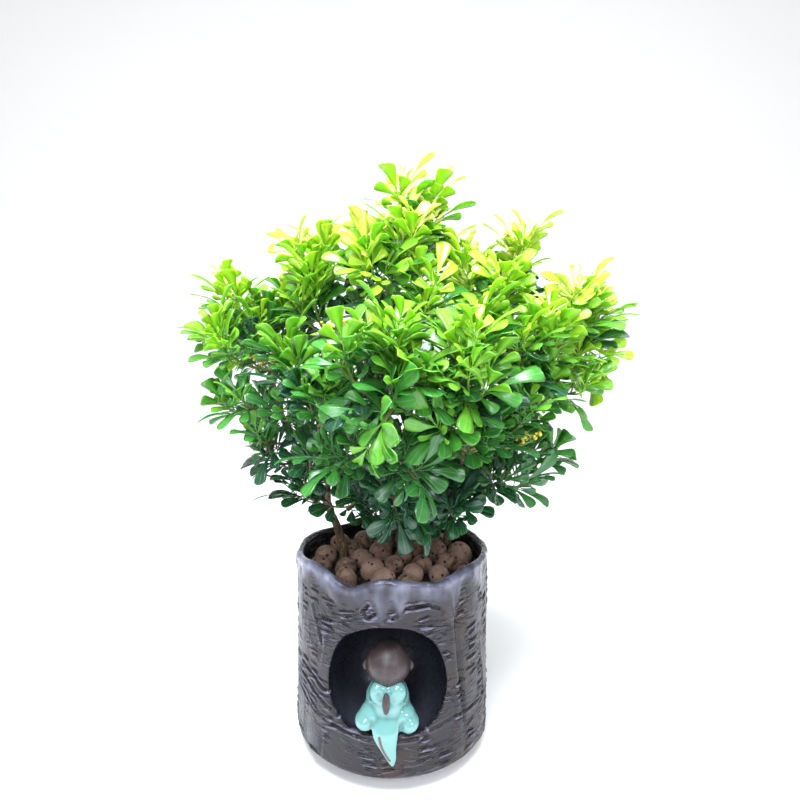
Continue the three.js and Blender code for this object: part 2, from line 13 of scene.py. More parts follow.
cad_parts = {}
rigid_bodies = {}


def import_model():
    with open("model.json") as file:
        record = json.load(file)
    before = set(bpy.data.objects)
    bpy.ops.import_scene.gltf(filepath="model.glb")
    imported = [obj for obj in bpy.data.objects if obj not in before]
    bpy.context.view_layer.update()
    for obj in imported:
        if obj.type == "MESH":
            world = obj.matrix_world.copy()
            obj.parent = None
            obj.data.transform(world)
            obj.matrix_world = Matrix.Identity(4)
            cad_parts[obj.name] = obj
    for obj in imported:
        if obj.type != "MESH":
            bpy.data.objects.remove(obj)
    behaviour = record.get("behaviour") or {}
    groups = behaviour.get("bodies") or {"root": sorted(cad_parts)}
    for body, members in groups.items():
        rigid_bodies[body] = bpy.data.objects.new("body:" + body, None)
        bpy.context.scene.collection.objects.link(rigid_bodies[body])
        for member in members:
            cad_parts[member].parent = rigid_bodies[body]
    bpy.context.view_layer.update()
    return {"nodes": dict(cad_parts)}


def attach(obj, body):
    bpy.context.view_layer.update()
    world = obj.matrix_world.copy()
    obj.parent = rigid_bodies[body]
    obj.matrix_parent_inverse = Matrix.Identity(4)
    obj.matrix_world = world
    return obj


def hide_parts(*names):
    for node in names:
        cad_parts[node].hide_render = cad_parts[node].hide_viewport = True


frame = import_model()

bl_info = {
    "name": "Potted perfume tree",
    "version": (1, 0, 0),
    "blender": (4, 5, 0),
    "location": "View3D > Sidebar > Perfume tree",
    "description": "Builds a potted perfume tree with a small figure in the pot's niche",
    "category": "Add Mesh",
}

MM = 0.001
GOLDEN_TURN = 137.5

# Pot: a wall with a wavy rim, azimuth 0 at the front and 90 on the right
POT_FOOT_RADIUS = 86.7
POT_RIM_RADIUS = 85
POT_HEIGHT = 160
POT_BORE_RADIUS = 79
POT_FLOOR = 11
FLOOR_FILLET = 4
DRAIN_RADIUS = 7
DRAIN_CENTRE = (0, 50)
POT_COLUMNS = 350
FOOT_PROFILE = [(83.7, 0), (85.3, 0.5), (86.4, 1.8)]
WALL_FOOT = 3.4
WALL_ROWS = 170
LIP_HEIGHT = 4.4
LIP_ROWS = 12
BORE_ROWS = 12
RIM_WAVES = [  # azimuth, rise and width in degrees
    (-50, 4, 15), (-23, -6.5, 11), (-4, 2, 10), (25, -3.5, 12), (50, 1.5, 12), (150, 2, 30),
    (-140, -3, 20),
]
DRIPS = [  # runs of slip below the rim: azimuth, length, width in degrees
    (-40, 5, 6), (-24, 8, 9), (-4, 22, 4), (5, 16, 3), (22, 4, 6), (35, 24, 5), (62, 9, 8),
    (88, 17, 6), (120, 6, 12), (151, 20, 5), (178, 8, 9), (-150, 15, 6), (-118, 5, 10),
    (-88, 14, 6), (-66, 6, 7),
]
GROOVES = [  # long carved lines, each as points of azimuth and height
    [(21, 38), (38, 42), (55, 41), (74, 43), (96, 40)],
    [(1, 132), (8, 139), (19, 140), (27, 136), (29, 131)],
    [(-64, 66), (-52, 62), (-39, 54), (-30, 46)],
    [(-60, 74), (-47, 70), (-38, 63)],
    [(-66, 56), (-55, 52), (-44, 43), (-36, 38)],
    [(-12, 141), (-15, 136), (-12, 131), (-8, 135)],
    [(-48, 130), (-45, 117), (-41, 101)],
    [(-90, 58), (-70, 50), (-52, 42), (-34, 37), (-10, 32), (14, 34)],
]
PANEL_GROOVES = [-168, -146, -121, -98, -79, -60, -43, 12, 62, 84, 101, 124, 149]
KNOT_CENTRE = (-51, 95)
KNOT_SPREAD = (3.2, 5.5)
KNOT_DENTS = 30
SPLIT_TOP = (36, 139)  # azimuth and height of the upright split right of the niche
SPLIT_SLANT = 0.07
LEDGE_CENTRE = (-48, 47)
RIDGE_WARM = "#2e211b"
# Pale grey-blue of the painted highlight on the carved crests
RIDGE_HIGHLIGHT = "#84829a"
SLIP_TONE = "#5f6070"
# Painted shade inside the niche: near black at its top, less dark at its floor
NICHE_SHADE_TOP = "#0e1014"
NICHE_SHADE_FLOOR = "#33343d"
NICHE_CENTRE = np.array([-2.7, -62.0, 71.0])
NICHE_RADII = np.array([47.0, 50.0, 46.0])
NICHE_RISE = 59.0
NICHE_FLOOR = 36.7
NICHE_WALL = 5.5
NICHE_TOP = 112
MOUTH_CENTRE = (-2.7, 78)  # the niche's mouth in the wall, which the carving keeps clear of
MOUTH_HALF_SIZE = (45, 42)
WINDOW_MIDDLE = np.array([-2.0, 74.0])
WINDOW_ROWS = (0.15, 0.86)  # the part of the wall's rows that is cut out round the mouth
WINDOW_SPAN = (-46, 40)
LINING_SPAN = (-56, 50)
FLOOR_CORNER = 1.8

# Filling
LITTER_EDGE = 139.3
CRUMB_TOP = 142.5
BALL_COUNT = 27
BALL_SPREAD = 68
BALL_HEIGHT = 147
BALL_RADIUS = (9.2, 11.6)
GAP_BALL_HEIGHT = 144
GAP_BALL_RADIUS = 4.6
LEAST_GAP_BALL = 5.6
FIRST_CLEARANCE = 4.4  # between a stem's middle and a ball's skin, before the balls part
STEM_CLEARANCE = 4
SETTLING_ROUNDS = 30
BALL_KINDS = 4
LITTER_COLUMNS = 120
LITTER_RADIUS = POT_BORE_RADIUS - 0.6

# Figure
HEAD_CENTRE = np.array([-2.5, -68.0, 85.0])
HEAD_RADII = np.array([18.0, 17.0, 18.5])
HEAD_TILT = 24
HANDS_CENTRE = np.array([-3.7, -89.5, 65.5])
HANDS_RADII = np.array([2.9, 3.2, 8.0])
HEAD_GRAIN = 0.42
EYE_ASIDE = 5.4
ROBE_GRAIN = 0.55
ROBE_SIDES = 40
ROBE_TAIL = [(-3, -78, 58), (-3.6, -85, 50), (-4.4, -89, 43), (-4.2, -90.8, 38),
             (-2.6, -91.4, 31), (0.1, -91.4, 22), (1.2, -90.8, 16)]
IRON_LINE = [(-6.4, 40), (-4.6, 33), (-1.2, 26), (1.4, 22)]  # from the figure's middle, and height
ROBE_SECTIONS = [  # height, left, right, front and back
    (37.4, -13, 9, -86, -58), (39, -18, 14, -88, -55), (42, -23, 18.4, -89, -53),
    (46, -24.6, 19, -88.5, -52), (50, -23.4, 17.2, -87.5, -52), (54, -21.4, 15.4, -86.5, -52.5),
    (57, -20.8, 14.8, -86, -53), (62, -20.4, 14.6, -85.5, -54), (66, -19.2, 13.4, -85, -56),
    (70, -17.4, 11.6, -84, -58), (73, -15.6, 9.8, -82, -61), (75.6, -11, 5.6, -79, -65),
]

# Leaves, for a leaf of size 1: angle, start and length of each leaflet by their number
LEAFLETS = {3: [(-40, 9, 23), (0, 13, 28), (40, 9, 23)],
            5: [(-62, 6, 16), (-38, 12, 21), (0, 17, 26), (38, 12, 21), (62, 6, 16)]}
LEAFLET_SECTIONS = [  # share of the leaflet's length, and of its greatest half width
    (0.05, 0.08), (0.2, 0.18), (0.38, 0.37), (0.55, 0.59), (0.71, 0.8), (0.85, 0.96),
    (0.945, 0.92), (0.99, 0.56),
]
LEAFLET_HALF_WIDTH = 0.25  # of its length
LEAF_KINDS = [(3, 0.42), (3, 0.12), (5, 0.36), (5, 0.08), (3, 0.24)]  # leaflets, and cupping
YOUNG_KINDS = (0, 2)
GROWN_KINDS = (1, 3, 4, 3)
YOUNG_ORDER = 0.6
LEAF_DROOP = 0.0078
LEAF_CUP = 0.007
LEAF_SPACING = 6.5
SOLID_LEAVES = [(0.5, 12), (8, 34), (20, 50)]  # distance below a solid twig's tip, and lean
FULL_SHOOT_HEIGHT = 345  # twigs that end above it hold three solid leaves, the others two
LOW_SHOOT_HEIGHT = 285  # twigs that end below it have one more spur and smaller leaves
CROWN_MIDDLE = 15
OPEN_REACH = 95  # low twigs further than that from the crown's middle are sparse
LOW_SHOOTS = [  # lower and inner shoots that have no solid: root on a stem, and tip
    ((-58, 0, 196), (-28, -40, 214)), ((-74, -4, 230), (-66, -48, 246)),
    ((-86, -7, 256), (-108, -40, 262)), ((-95, -10, 276), (-82, -54, 284)),
    ((-98, -10, 286), (-122, -42, 292)), ((-95, -10, 276), (-116, 12, 286)),
    ((5, 17, 184), (-16, -14, 192)), ((5, 17, 184), (24, -18, 190)),
    ((2, 14, 206), (-22, -46, 208)), ((2, 14, 206), (22, -52, 202)),
    ((56, 15, 180), (38, -20, 190)), ((62, 12, 200), (44, -42, 222)),
    ((66, 10, 212), (84, -32, 226)), ((-12, 58, 178), (-36, 44, 196)),
    ((-12, 60, 184), (14, 46, 198)), ((-14, 66, 206), (-30, 20, 226)),
    ((-2, 8, 236), (14, -40, 232)), ((-8, 6, 250), (-34, -40, 246)),
    ((78, 6, 240), (62, -36, 244)), ((86, 4, 262), (112, -30, 266)),
    ((-106, -8, 318), (-136, 32, 332)), ((-94, 58, 306), (-114, 40, 346)),
    ((-106, -8, 318), (-96, 30, 366)), ((-50, -4, 340), (-68, 34, 392)),
    ((-8, 6, 250), (-4, 34, 288)), ((-14, 0, 296), (-36, 36, 334)),
    ((-8, -4, 340), (-30, 30, 376)),
]
MANY_LEAVES = [  # places down a twig, in leaf spacings
    -0.35, 0.3, 0.8, 1.6, 2.2, 2.9, 3.6, 4.4, 5.3, 6.4, 7.6, 9, 10.5, 12,
]
FEW_LEAVES = [-0.3, 0.5, 1.5, 2.7, 4.0, 5.4]
SPUR_LEAVES = [-0.3, 0.3, 0.9, 1.6, 2.4]
LOW_LEAVES = [-0.3, 0.3, 1.0, 1.7, 2.4, 3.1, 3.8, 4.6, 5.4, 6.2]
LEAF_THICKNESS = 0.7
TWIG_STEPS = 14
TWIG_RADIUS = (1.2, 0.9)
FORK_RADIUS = (1.0, 0.7)
SPUR_RADIUS = (0.8, 0.6)
LOWEST_TWIG_JOINT = 190
# Pitch and turn that a solid leaf is tried with, in the order in which the solid twig tries them
LEAF_TRIES = [(pitch, turn) for pitch in (0, 12, -12, 24)
              for turn in (0, 20, -20, 40, -40, 60, -60)]

# Woody stems: each branch leaves a joint of an earlier one, and its joints carry the twigs.
STEMS = {
    "stem_left": {
        "radius": (4.2, 1.7),
        "joints": [
            (-44, 4, 112), (-46, 3, 158), (-58, 0, 196), (-78, -5, 236), (-95, -10, 276),
            (-106, -8, 318),
        ],
        "forks": [(2, [(-55, -30, 236), (-58, -55, 276)]),
                  (3, [(-88, 32, 268), (-94, 58, 306)])],
    },
    "stem_centre": {
        "radius": (4, 1.6),
        "joints": [
            (6, 22, 112), (8, 20, 160), (2, 14, 206), (-8, 6, 250), (-14, 0, 296), (-8, -4, 340),
            (4, -4, 384),
        ],
        "forks": [(3, [(-32, 0, 296), (-50, -4, 340)]),
                  (2, [(-2, -26, 234), (-8, -66, 264), (-4, -92, 296)])],
    },
    "stem_right": {
        "radius": (4.2, 1.7),
        "joints": [
            (48, 20, 112), (52, 18, 160), (62, 12, 200), (78, 6, 240), (92, 2, 280), (100, 0, 320),
            (98, 2, 362),
        ],
        "forks": [(3, [(112, 0, 268), (140, -2, 298), (156, 0, 330)]),
                  (2, [(60, -26, 230), (56, -60, 258), (50, -86, 288)]),
                  (4, [(96, -34, 306)])],
    },
    "stem_back": {
        "radius": (3.8, 1.6),
        "joints": [
            (-8, 50, 112), (-10, 54, 160), (-14, 66, 206), (-18, 80, 250), (-14, 90, 296),
            (-4, 82, 342),
        ],
        "forks": [(2, [(-48, 84, 240), (-78, 96, 272)]),
                  (2, [(30, 90, 238), (68, 100, 272), (98, 90, 308)])],
    },
}

# Leafy twigs: the tips of each one. A second tip grows from the middle of the first's twig.
SPRAYS = [
    [(33, 5, 462)], [(9, -35, 425)], [(-14, -60, 395)], [(-62, 10, 417)], [(-65, -30, 383)],
    [(-133, 0, 372), (-107, 20, 363)], [(-140, -30, 340)], [(-29, -125, 330), (-3, -120, 340)],
    [(32, -60, 374)], [(109, 10, 417)], [(65, -10, 399)], [(91, -40, 376)], [(66, -80, 354)],
    [(163, -10, 371)], [(176, 10, 364), (174, 10, 332)], [(127, -60, 340)],
    [(45, -125, 332), (60, -130, 305)], [(15, -130, 318), (-3, -140, 290)], [(96, -80, 336)],
    [(156, -20, 300)], [(130, -20, 242)], [(98, -50, 223)], [(-130, -20, 283)], [(-104, -12, 238)],
    [(-73, -10, 208)], [(-48, -90, 296), (-78, -60, 328)], [(-32, -100, 254)], [(18, -110, 246)],
    [(37, -120, 280)], [(58, -90, 263)], [(87, -70, 275), (119, -50, 300)], [(3, -66, 212)],
    [(54, -46, 202)], [(-20, 60, 430), (45, 65, 425)], [(95, 70, 395)],
    [(-90, 65, 390), (-140, 50, 325)], [(150, 60, 350), (150, 80, 280)],
    [(-20, 125, 370), (50, 130, 365)], [(-85, 120, 330), (-125, 90, 262)], [(110, 120, 325)],
    [(10, 150, 300)], [(-60, 140, 265), (-80, 85, 208)], [(75, 140, 255)],
    [(90, 80, 215), (10, 130, 215)],
]
YOUNG_SPRAY_HEIGHT = 330

# Tips that only a few twigs carry beside their own
TWIN_TIPS = {(33, 5, 462): (8, -8, 466), (-62, 10, 417): (-78, -12, 414),
             (163, -10, 371): (148, -36, 372)}

# Tips of the flower sprays
PANICLES = [
    (-104, -46, 326), (-42, -62, 356), (-12, -96, 352), (64, -96, 322), (112, -66, 268),
    (40, 112, 392),
]
PANICLE_BRANCHES = 7
BRANCH_BEADS = 5
LEAST_VIEW = 11  # no leaf may end closer than that before a flower spray, seen from the front

# Stage
SWEEP_PROFILE = [(-1500, 0), (1100, 0), (1500, 60), (1800, 300), (1950, 800), (2000, 3000)]
SWEEP_REACH = 3000
SENSOR_WIDTH = 36
LAMP_TARGET = (0, 0, 0.22)  # in metres, as the lamps' places and sizes are
LAMPS = [  # place, size, and power as a share of the overhead light's
    ("overhead_softbox", (-0.05, -0.4, 1.3), 0.8, 1),
    ("front_fill", (-0.3, -1.3, 1.0), 0.6, 0.25),
    ("side_window", (0.9, -1.0, 0.8), 0.4, 0.12),
]


# Numbers

def vary(index):
    """An even spread over 0 to 1 that never repeats: the golden section's fractions"""
    return index * 0.618034 % 1


def bell(offset, width):
    """1 at no offset, falling smoothly to almost 0 at twice the width"""
    return np.exp(-np.square(offset / width))


def turn_from(azimuth, centre):
    """Degrees from a centre azimuth, from -180 to 180"""
    return (azimuth - centre + 180) % 360 - 180


def lerp(first, last, share):
    return first + (last - first) * share


def smooth(low, high, value):
    share = np.clip((value - low) / (high - low), 0, 1)
    return share * share * (3 - 2 * share)


def unit(vectors):
    return vectors / np.linalg.norm(vectors, axis=-1, keepdims=True)


def round_point(azimuth, radius, height):
    """Points at that azimuth, distance from the pot's axis and height"""
    angle = np.radians(azimuth)
    spot = np.broadcast_arrays(radius * np.sin(angle), -radius * np.cos(angle), height)
    return np.stack(spot, axis=-1)


def linear(code):
    """An sRGB hex colour as the linear colour that shaders take"""
    channels = [int(code[start:start + 2], 16) / 255 for start in (1, 3, 5)]
    return [c / 12.92 if c <= 0.04045 else ((c + 0.055) / 1.055) ** 2.4 for c in channels] + [1.0]


def per_mm(size):
    """The scale of a pattern whose features are that many millimetres wide"""
    return 1 / (size * MM)


# Meshes

def store(mesh, name, values):
    """Gives each point of a mesh a named value"""
    layer = mesh.attributes.new(name, "FLOAT", "POINT")
    layer.data.foreach_set("value", np.asarray(values, dtype=float))


class Shape:
    """Points and faces gathered from several surfaces, with named values on the points"""

    def __init__(self):
        self.points = []
        self.faces = []
        self.values = []
        self.count = 0

    def add(self, points, faces, **values):
        self.points.append(points)
        self.faces.extend([self.count + corner for corner in face] for face in faces)
        self.values.append((len(points), values))
        self.count += len(points)

    def mesh(self, name, *materials):
        mesh = bpy.data.meshes.new(name)
        mesh.from_pydata((np.vstack(self.points) * MM).tolist(), [], self.faces)
        for key in sorted({key for _, values in self.values for key in values}):
            column = [np.broadcast_to(values.get(key, 0.0), count) for count, values in self.values]
            store(mesh, key, np.concatenate(column))
        mesh.shade_smooth()
        for material in materials:
            mesh.materials.append(material)
        return mesh


def point_array(mesh):
    """A mesh's points in millimetres"""
    points = np.empty(len(mesh.vertices) * 3)
    mesh.vertices.foreach_get("co", points)
    return points.reshape(-1, 3) / MM


def move_points(piece, points):
    """Puts a piece's points at the given places in millimetres"""
    piece.data.vertices.foreach_set("co", (points * MM).ravel())
    piece.data.update()


def quads(loops):
    """The faces between loops of point numbers, each loop closed"""
    after = np.roll(loops, -1, axis=1)
    faces = np.stack([loops[:-1], after[:-1], after[1:], loops[1:]], axis=-1)
    return faces.reshape(-1, 4).tolist()


def loft(rings, first, last):
    """A closed surface through rings of equal point counts, with a point at each end"""
    rings = np.asarray(rings, dtype=float)
    count, sides, _ = rings.shape
    points = np.vstack([[first], rings.reshape(-1, 3), [last]])
    at = 1 + np.arange(count * sides).reshape(count, sides)
    faces = quads(at)
    faces += [(0, b, a) for a, b in zip(at[0], np.roll(at[0], -1))]
    faces += [(len(points) - 1, a, b) for a, b in zip(at[-1], np.roll(at[-1], -1))]
    return points, faces


def ellipsoid(centre, radii, sides=32, rows=20, tilt=0, taper=0):
    """An egg that narrows below by taper and leans forward by tilt"""
    latitude = np.radians(np.linspace(-90, 90, rows + 1)[1:-1])[:, None]
    turn = np.radians(np.arange(sides) / sides * 360)[None, :]
    level = np.sin(latitude)
    width = np.cos(latitude) * (1 - taper * np.square(np.minimum(level, 0)))
    ball = np.stack(np.broadcast_arrays(width * np.cos(turn), width * np.sin(turn), level), axis=-1)
    lean = np.array(Matrix.Rotation(math.radians(tilt), 3, "X"))
    place = lambda points: np.asarray(centre) + (points * np.asarray(radii)) @ lean.T
    return loft(place(ball), place(np.array([0, 0, -1.0])), place(np.array([0, 0, 1.0])))


def through(points, steps):
    """Points on a smooth curve that passes through the given ones, steps to each stretch"""
    points = np.asarray(points, dtype=float)
    padded = np.vstack([2 * points[0] - points[1], points, 2 * points[-1] - points[-2]])
    knots = np.concatenate([[0], np.cumsum(np.linalg.norm(np.diff(padded, axis=0), axis=1) ** 0.5)])
    curve = []
    for number in range(1, len(padded) - 2):
        p, t = padded[number - 1:number + 3], knots[number - 1:number + 3]
        for at in np.linspace(t[1], t[2], steps, endpoint=False):
            level = p
            for low, high in [(t[:3], t[1:]), (t[:2], t[2:]), (t[1:2], t[2:3])]:
                level = np.array([a + (b - a) * (at - m) / (n - m)
                                  for a, b, m, n in zip(level[:-1], level[1:], low, high)])
            curve.append(level[0])
    return np.vstack([curve, points[-1]])


def tube(path, radii, sides, swell=None):
    """A round rod along a path, with a pointed start and a rounded end. swell scales its rings."""
    path = np.asarray(path, dtype=float)
    forward = unit(np.gradient(path, axis=0))
    radii = np.broadcast_to(radii, len(path))
    normal = unit(np.cross(forward[0], [0.3, 0.9, 0.2]))
    turn = np.radians(np.arange(sides) / sides * 360)
    rings = []
    for step, (centre, ahead) in enumerate(zip(path, forward)):
        normal = unit(normal - ahead * normal.dot(ahead))
        side = np.cross(ahead, normal)
        reach = radii[step] * (1 if swell is None else swell(step, turn))
        rings.append(centre + np.outer(reach * np.cos(turn), normal)
                     + np.outer(reach * np.sin(turn), side))
    return loft(rings, path[0], path[-1] + forward[-1] * radii[-1] * 0.8)


def as_object(name, shape, *materials):
    """A shape or layout as a new object that isn't in the scene yet"""
    return bpy.data.objects.new(name, shape.mesh(name, *materials))


def finish_piece(piece, slot, *nodes):
    """Puts a piece in the scene, on the pot's body, in place of the plain solids it stands for"""
    if piece.name not in bpy.context.scene.collection.objects:
        bpy.context.scene.collection.objects.link(piece)
    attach(piece, "root")
    if nodes:
        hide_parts(*nodes)


def apply_modifiers(piece):
    """Makes a piece's mesh what its modifiers make of it, with all its data kept"""
    depsgraph = bpy.context.evaluated_depsgraph_get()
    mesh = bpy.data.meshes.new_from_object(
        piece.evaluated_get(depsgraph), preserve_all_data_layers=True, depsgraph=depsgraph)
    mesh.name = piece.name
    piece.modifiers.clear()
    piece.data = mesh


def run_tree(piece, tree, values):
    """Replaces a piece's mesh by what a geometry tree makes of it"""
    bpy.context.scene.collection.objects.link(piece)
    modifier = piece.modifiers.new(tree.name, "NODES")
    modifier.node_group = tree
    for item in tree.interface.items_tree:
        if item.in_out == "INPUT" and item.name in values:
            modifier[item.identifier] = values[item.name]
    apply_modifiers(piece)


def fused(name, shape, grain, passes):
    """An object of a shape's overlapping forms, fused into one soft skin"""
    piece = as_object(name, shape)
    bpy.context.scene.collection.objects.link(piece)
    skin = piece.modifiers.new("fuse", "REMESH")
    skin.mode = "VOXEL"
    skin.voxel_size = grain * MM
    skin.use_smooth_shade = True
    soften = piece.modifiers.new("soften", "SMOOTH")
    soften.factor = 0.5
    soften.iterations = passes
    apply_modifiers(piece)
    return piece


# Nodes

def feed(tree, node, inputs):
    """Gives a node's inputs their values, or links from sockets or from a node's first output"""
    for socket, value in dict(inputs).items():
        if isinstance(value, bpy.types.Node):
            value = next(output for output in value.outputs if output.enabled)
        if isinstance(value, bpy.types.NodeSocket):
            tree.links.new(value, node.inputs[socket])
        else:
            node.inputs[socket].default_value = value


def add(tree, kind, inputs=(), stops=(), **settings):
    """Adds a node with its settings, its inputs and, on a colour ramp, its stops"""
    node = tree.nodes.new(kind)
    for key, value in settings.items():
        setattr(node, key, value)
    feed(tree, node, inputs)
    for number, (place, colour) in enumerate(stops):
        elements = node.color_ramp.elements
        stop = elements[number] if number < 2 else elements.new(place)
        stop.position = place
        stop.color = linear(colour) if isinstance(colour, str) else colour
    return node


def shader(name):
    """A new material with its tree, its surface node and the piece's own coordinates"""
    material = bpy.data.materials.new(name)
    material.use_nodes = True
    tree = material.node_tree
    place = add(tree, "ShaderNodeTexCoord").outputs["Object"]
    return material, tree, tree.nodes["Principled BSDF"], place


def grey(level):
    return (level, level, level, 1)


# Finishes

def satin_stoneware(body, groove):
    """Dark iron stoneware, carved while wet, slip-washed and fired to a satin skin.

    Painted shade darkens the cuts and painted light lifts the ridges and crests. Along the lip
    the slip carries a painted highlight, and the niche is painted in shade, near black at its top.
    """
    material, tree, skin, place = shader("satin_carved_stoneware")
    rise, slip, inside = [add(tree, "ShaderNodeAttribute", attribute_name=name).outputs["Fac"]
                          for name in ("rise", "slip", "inside")]
    height = add(tree, "ShaderNodeSeparateXYZ", {"Vector": place}).outputs["Z"]
    drawn = add(tree, "ShaderNodeMapping", {"Vector": place, "Scale": (1, 1, 8)})
    run = add(tree, "ShaderNodeMapping", {"Vector": place, "Scale": (1.2, 1.2, 0.8)})
    firing, stroke, area, streak, cloud, grit, knife = [
        add(tree, "ShaderNodeTexNoise", {"Vector": vector, "Scale": per_mm(size), "Detail": detail})
        for vector, size, detail in [(place, 26, 4), (drawn, 20, 2), (place, 30, 1), (run, 20, 2),
                                     (place, 9, 3), (place, 1.6, 5), (place, 5, 2)]]
    specks = add(tree, "ShaderNodeTexVoronoi", {"Vector": place, "Scale": per_mm(4.6)})
    relief_level, ridge, worked, depth, gloss = [
        add(tree, "ShaderNodeMapRange", {"Value": value, "From Min": low, "From Max": high,
                                         "To Min": first, "To Max": last})
        for value, low, high, first, last in [
            (rise, -1.6, 0.8, 0, 1), (stroke, 0.5, 0.6, 0, 1), (area, 0.44, 0.55, 0, 1),
            (height, NICHE_FLOOR * MM, NICHE_TOP * MM, 0, 1), (cloud, 0.3, 0.7, 0.2, 0.38)]]

    # Short level strokes where the wall was worked, and a pale painted highlight on their crests
    smoothed = add(tree, "ShaderNodeMath", {0: slip, 1: inside}, operation="ADD")
    bare = add(tree, "ShaderNodeMath", {0: worked, 1: smoothed},
               operation="SUBTRACT", use_clamp=True)
    scored = add(tree, "ShaderNodeMath", {0: ridge, 1: bare}, operation="MULTIPLY")
    proud = add(tree, "ShaderNodeMath", {0: scored, 1: 0.6, 2: rise}, operation="MULTIPLY_ADD")
    crest_highlight = add(tree, "ShaderNodeMapRange",
                {"Value": proud, "From Min": 0.45, "From Max": 1.0, "To Max": 0.55})
    # The slip's share, which along the lip also lays on a painted highlight
    slip_and_lip_highlight = add(tree, "ShaderNodeMath", {0: slip, 1: 0.4}, operation="MULTIPLY")

    # Colours, each laid over the last, with painted shade and light on the carving and in the niche
    patches, relief_shade_and_light, thin, niche_shade, dust = [
        add(tree, "ShaderNodeValToRGB", {"Fac": value}, stops) for value, stops in [
            (firing, [(0.35, groove), (0.5, body), (0.68, RIDGE_WARM)]),
            # Painted shade in the cuts and painted light on the ridges
            (relief_level, [(0.05, grey(0.06)), (0.4, grey(0.34)), (0.667, grey(0.5)), (0.93, grey(0.8))]),
            (streak, [(0.36, "#3d3a44"), (0.5, SLIP_TONE), (0.66, "#8f91a2")]),
            # Painted shade inside the niche, less dark towards its floor
            (depth, [(0.0, NICHE_SHADE_FLOOR), (0.45, "#22242c"), (1.0, NICHE_SHADE_TOP)]),
            (specks, [(0.05, grey(0.1)), (0.09, grey(0))])]]
    colour = patches
    for share, layer, blend in [(0.8, relief_shade_and_light, "OVERLAY"), (crest_highlight, linear(RIDGE_HIGHLIGHT), "MIX"),
                                (slip_and_lip_highlight, thin, "MIX"), (inside, niche_shade, "MIX"), (1.0, dust, "ADD")]:
        colour = add(tree, "ShaderNodeMix", {"Factor": share, "A": colour, "B": layer},
                     data_type="RGBA", blend_type=blend)
    glazed = add(tree, "ShaderNodeMath", {0: slip, 1: -0.12, 2: gloss}, operation="MULTIPLY_ADD")

    # Grit, knife marks and strokes
    fine = add(tree, "ShaderNodeBump", {"Height": grit, "Strength": 0.5, "Distance": 0.3 * MM})
    broad = add(tree, "ShaderNodeBump",
                {"Height": knife, "Strength": 0.6, "Distance": 0.9 * MM, "Normal": fine})
    hatched = add(tree, "ShaderNodeBump",
                  {"Height": scored, "Strength": 1.0, "Distance": 1.4 * MM, "Normal": broad})
    feed(tree, skin, {"Base Color": colour, "Roughness": glazed, "Normal": hatched,
                      "Specular IOR Level": 0.4})
    return material


def fired_clay_ball(body):
    """Expanded clay, rolled and fired: matt red-brown with burst pores, each ball its own tone."""
    material, tree, skin, place = shader("matt_expanded_clay")
    tone = add(tree, "ShaderNodeAttribute", attribute_name="tone").outputs["Fac"]
    patch = add(tree, "ShaderNodeTexNoise", {"Vector": place, "Scale": per_mm(5), "Detail": 5})
    shift = add(tree, "ShaderNodeMath", {0: patch, 1: tone}, operation="ADD")
    colour = add(tree, "ShaderNodeValToRGB", {"Fac": shift},
                 [(0.3, "#423128"), (0.62, body), (0.95, "#a18574")])
    cells = add(tree, "ShaderNodeTexVoronoi", {"Vector": place, "Scale": per_mm(6.5)})
    ragged = add(tree, "ShaderNodeMath", {0: patch, 1: 0.35, 2: cells}, operation="MULTIPLY_ADD")
    pore = add(tree, "ShaderNodeValToRGB", {"Fac": ragged}, [(0.35, grey(0.08)), (0.42, grey(1))])
    pitted = add(tree, "ShaderNodeMix", {"Factor": 1.0, "A": colour, "B": pore},
                 data_type="RGBA", blend_type="MULTIPLY")
    grit = add(tree, "ShaderNodeTexNoise", {"Vector": place, "Scale": per_mm(1.4), "Detail": 6})
    sand = add(tree, "ShaderNodeBump", {"Height": grit, "Strength": 1.0, "Distance": 1.0 * MM})
    pits = add(tree, "ShaderNodeBump",
               {"Height": pore, "Strength": 0.8, "Distance": 0.6 * MM, "Normal": sand})
    feed(tree, skin, {"Base Color": pitted, "Normal": pits, "Roughness": 0.88})
    return material


def damp_soil(body):
    """Peaty potting soil with charcoal, watered: near black, with small wet glints."""
    material, tree, skin, place = shader("damp_peat_soil")
    crumb = add(tree, "ShaderNodeTexNoise", {"Vector": place, "Scale": per_mm(3), "Detail": 8})
    colour = add(tree, "ShaderNodeValToRGB", {"Fac": crumb},
                 [(0.35, "#0f0c0b"), (0.6, body), (0.8, "#4c3d31")])
    wet = add(tree, "ShaderNodeMapRange", {"Value": crumb, "From Min": 0.4, "From Max": 0.6,
                                           "To Min": 0.35, "To Max": 0.9})
    rough = add(tree, "ShaderNodeBump", {"Height": crumb, "Strength": 1.0, "Distance": 1.2 * MM})
    feed(tree, skin, {"Base Color": colour, "Roughness": wet, "Normal": rough})
    return material


def bare_clay(body):
    """Unglazed brown clay, burnished by a wet sponge: soft satin with a faint mottle."""
    material, tree, skin, place = shader("burnished_bare_clay")
    mottle = add(tree, "ShaderNodeTexNoise", {"Vector": place, "Scale": per_mm(7), "Detail": 4})
    colour = add(tree, "ShaderNodeValToRGB", {"Fac": mottle},
                 [(0.3, "#332a2a"), (0.55, body), (0.75, "#574947")])
    grain = add(tree, "ShaderNodeTexNoise", {"Vector": place, "Scale": per_mm(0.9), "Detail": 3})
    bump = add(tree, "ShaderNodeBump", {"Height": grain, "Strength": 0.35, "Distance": 0.15 * MM})
    feed(tree, skin, {"Base Color": colour, "Normal": bump, "Roughness": 0.42})
    return material


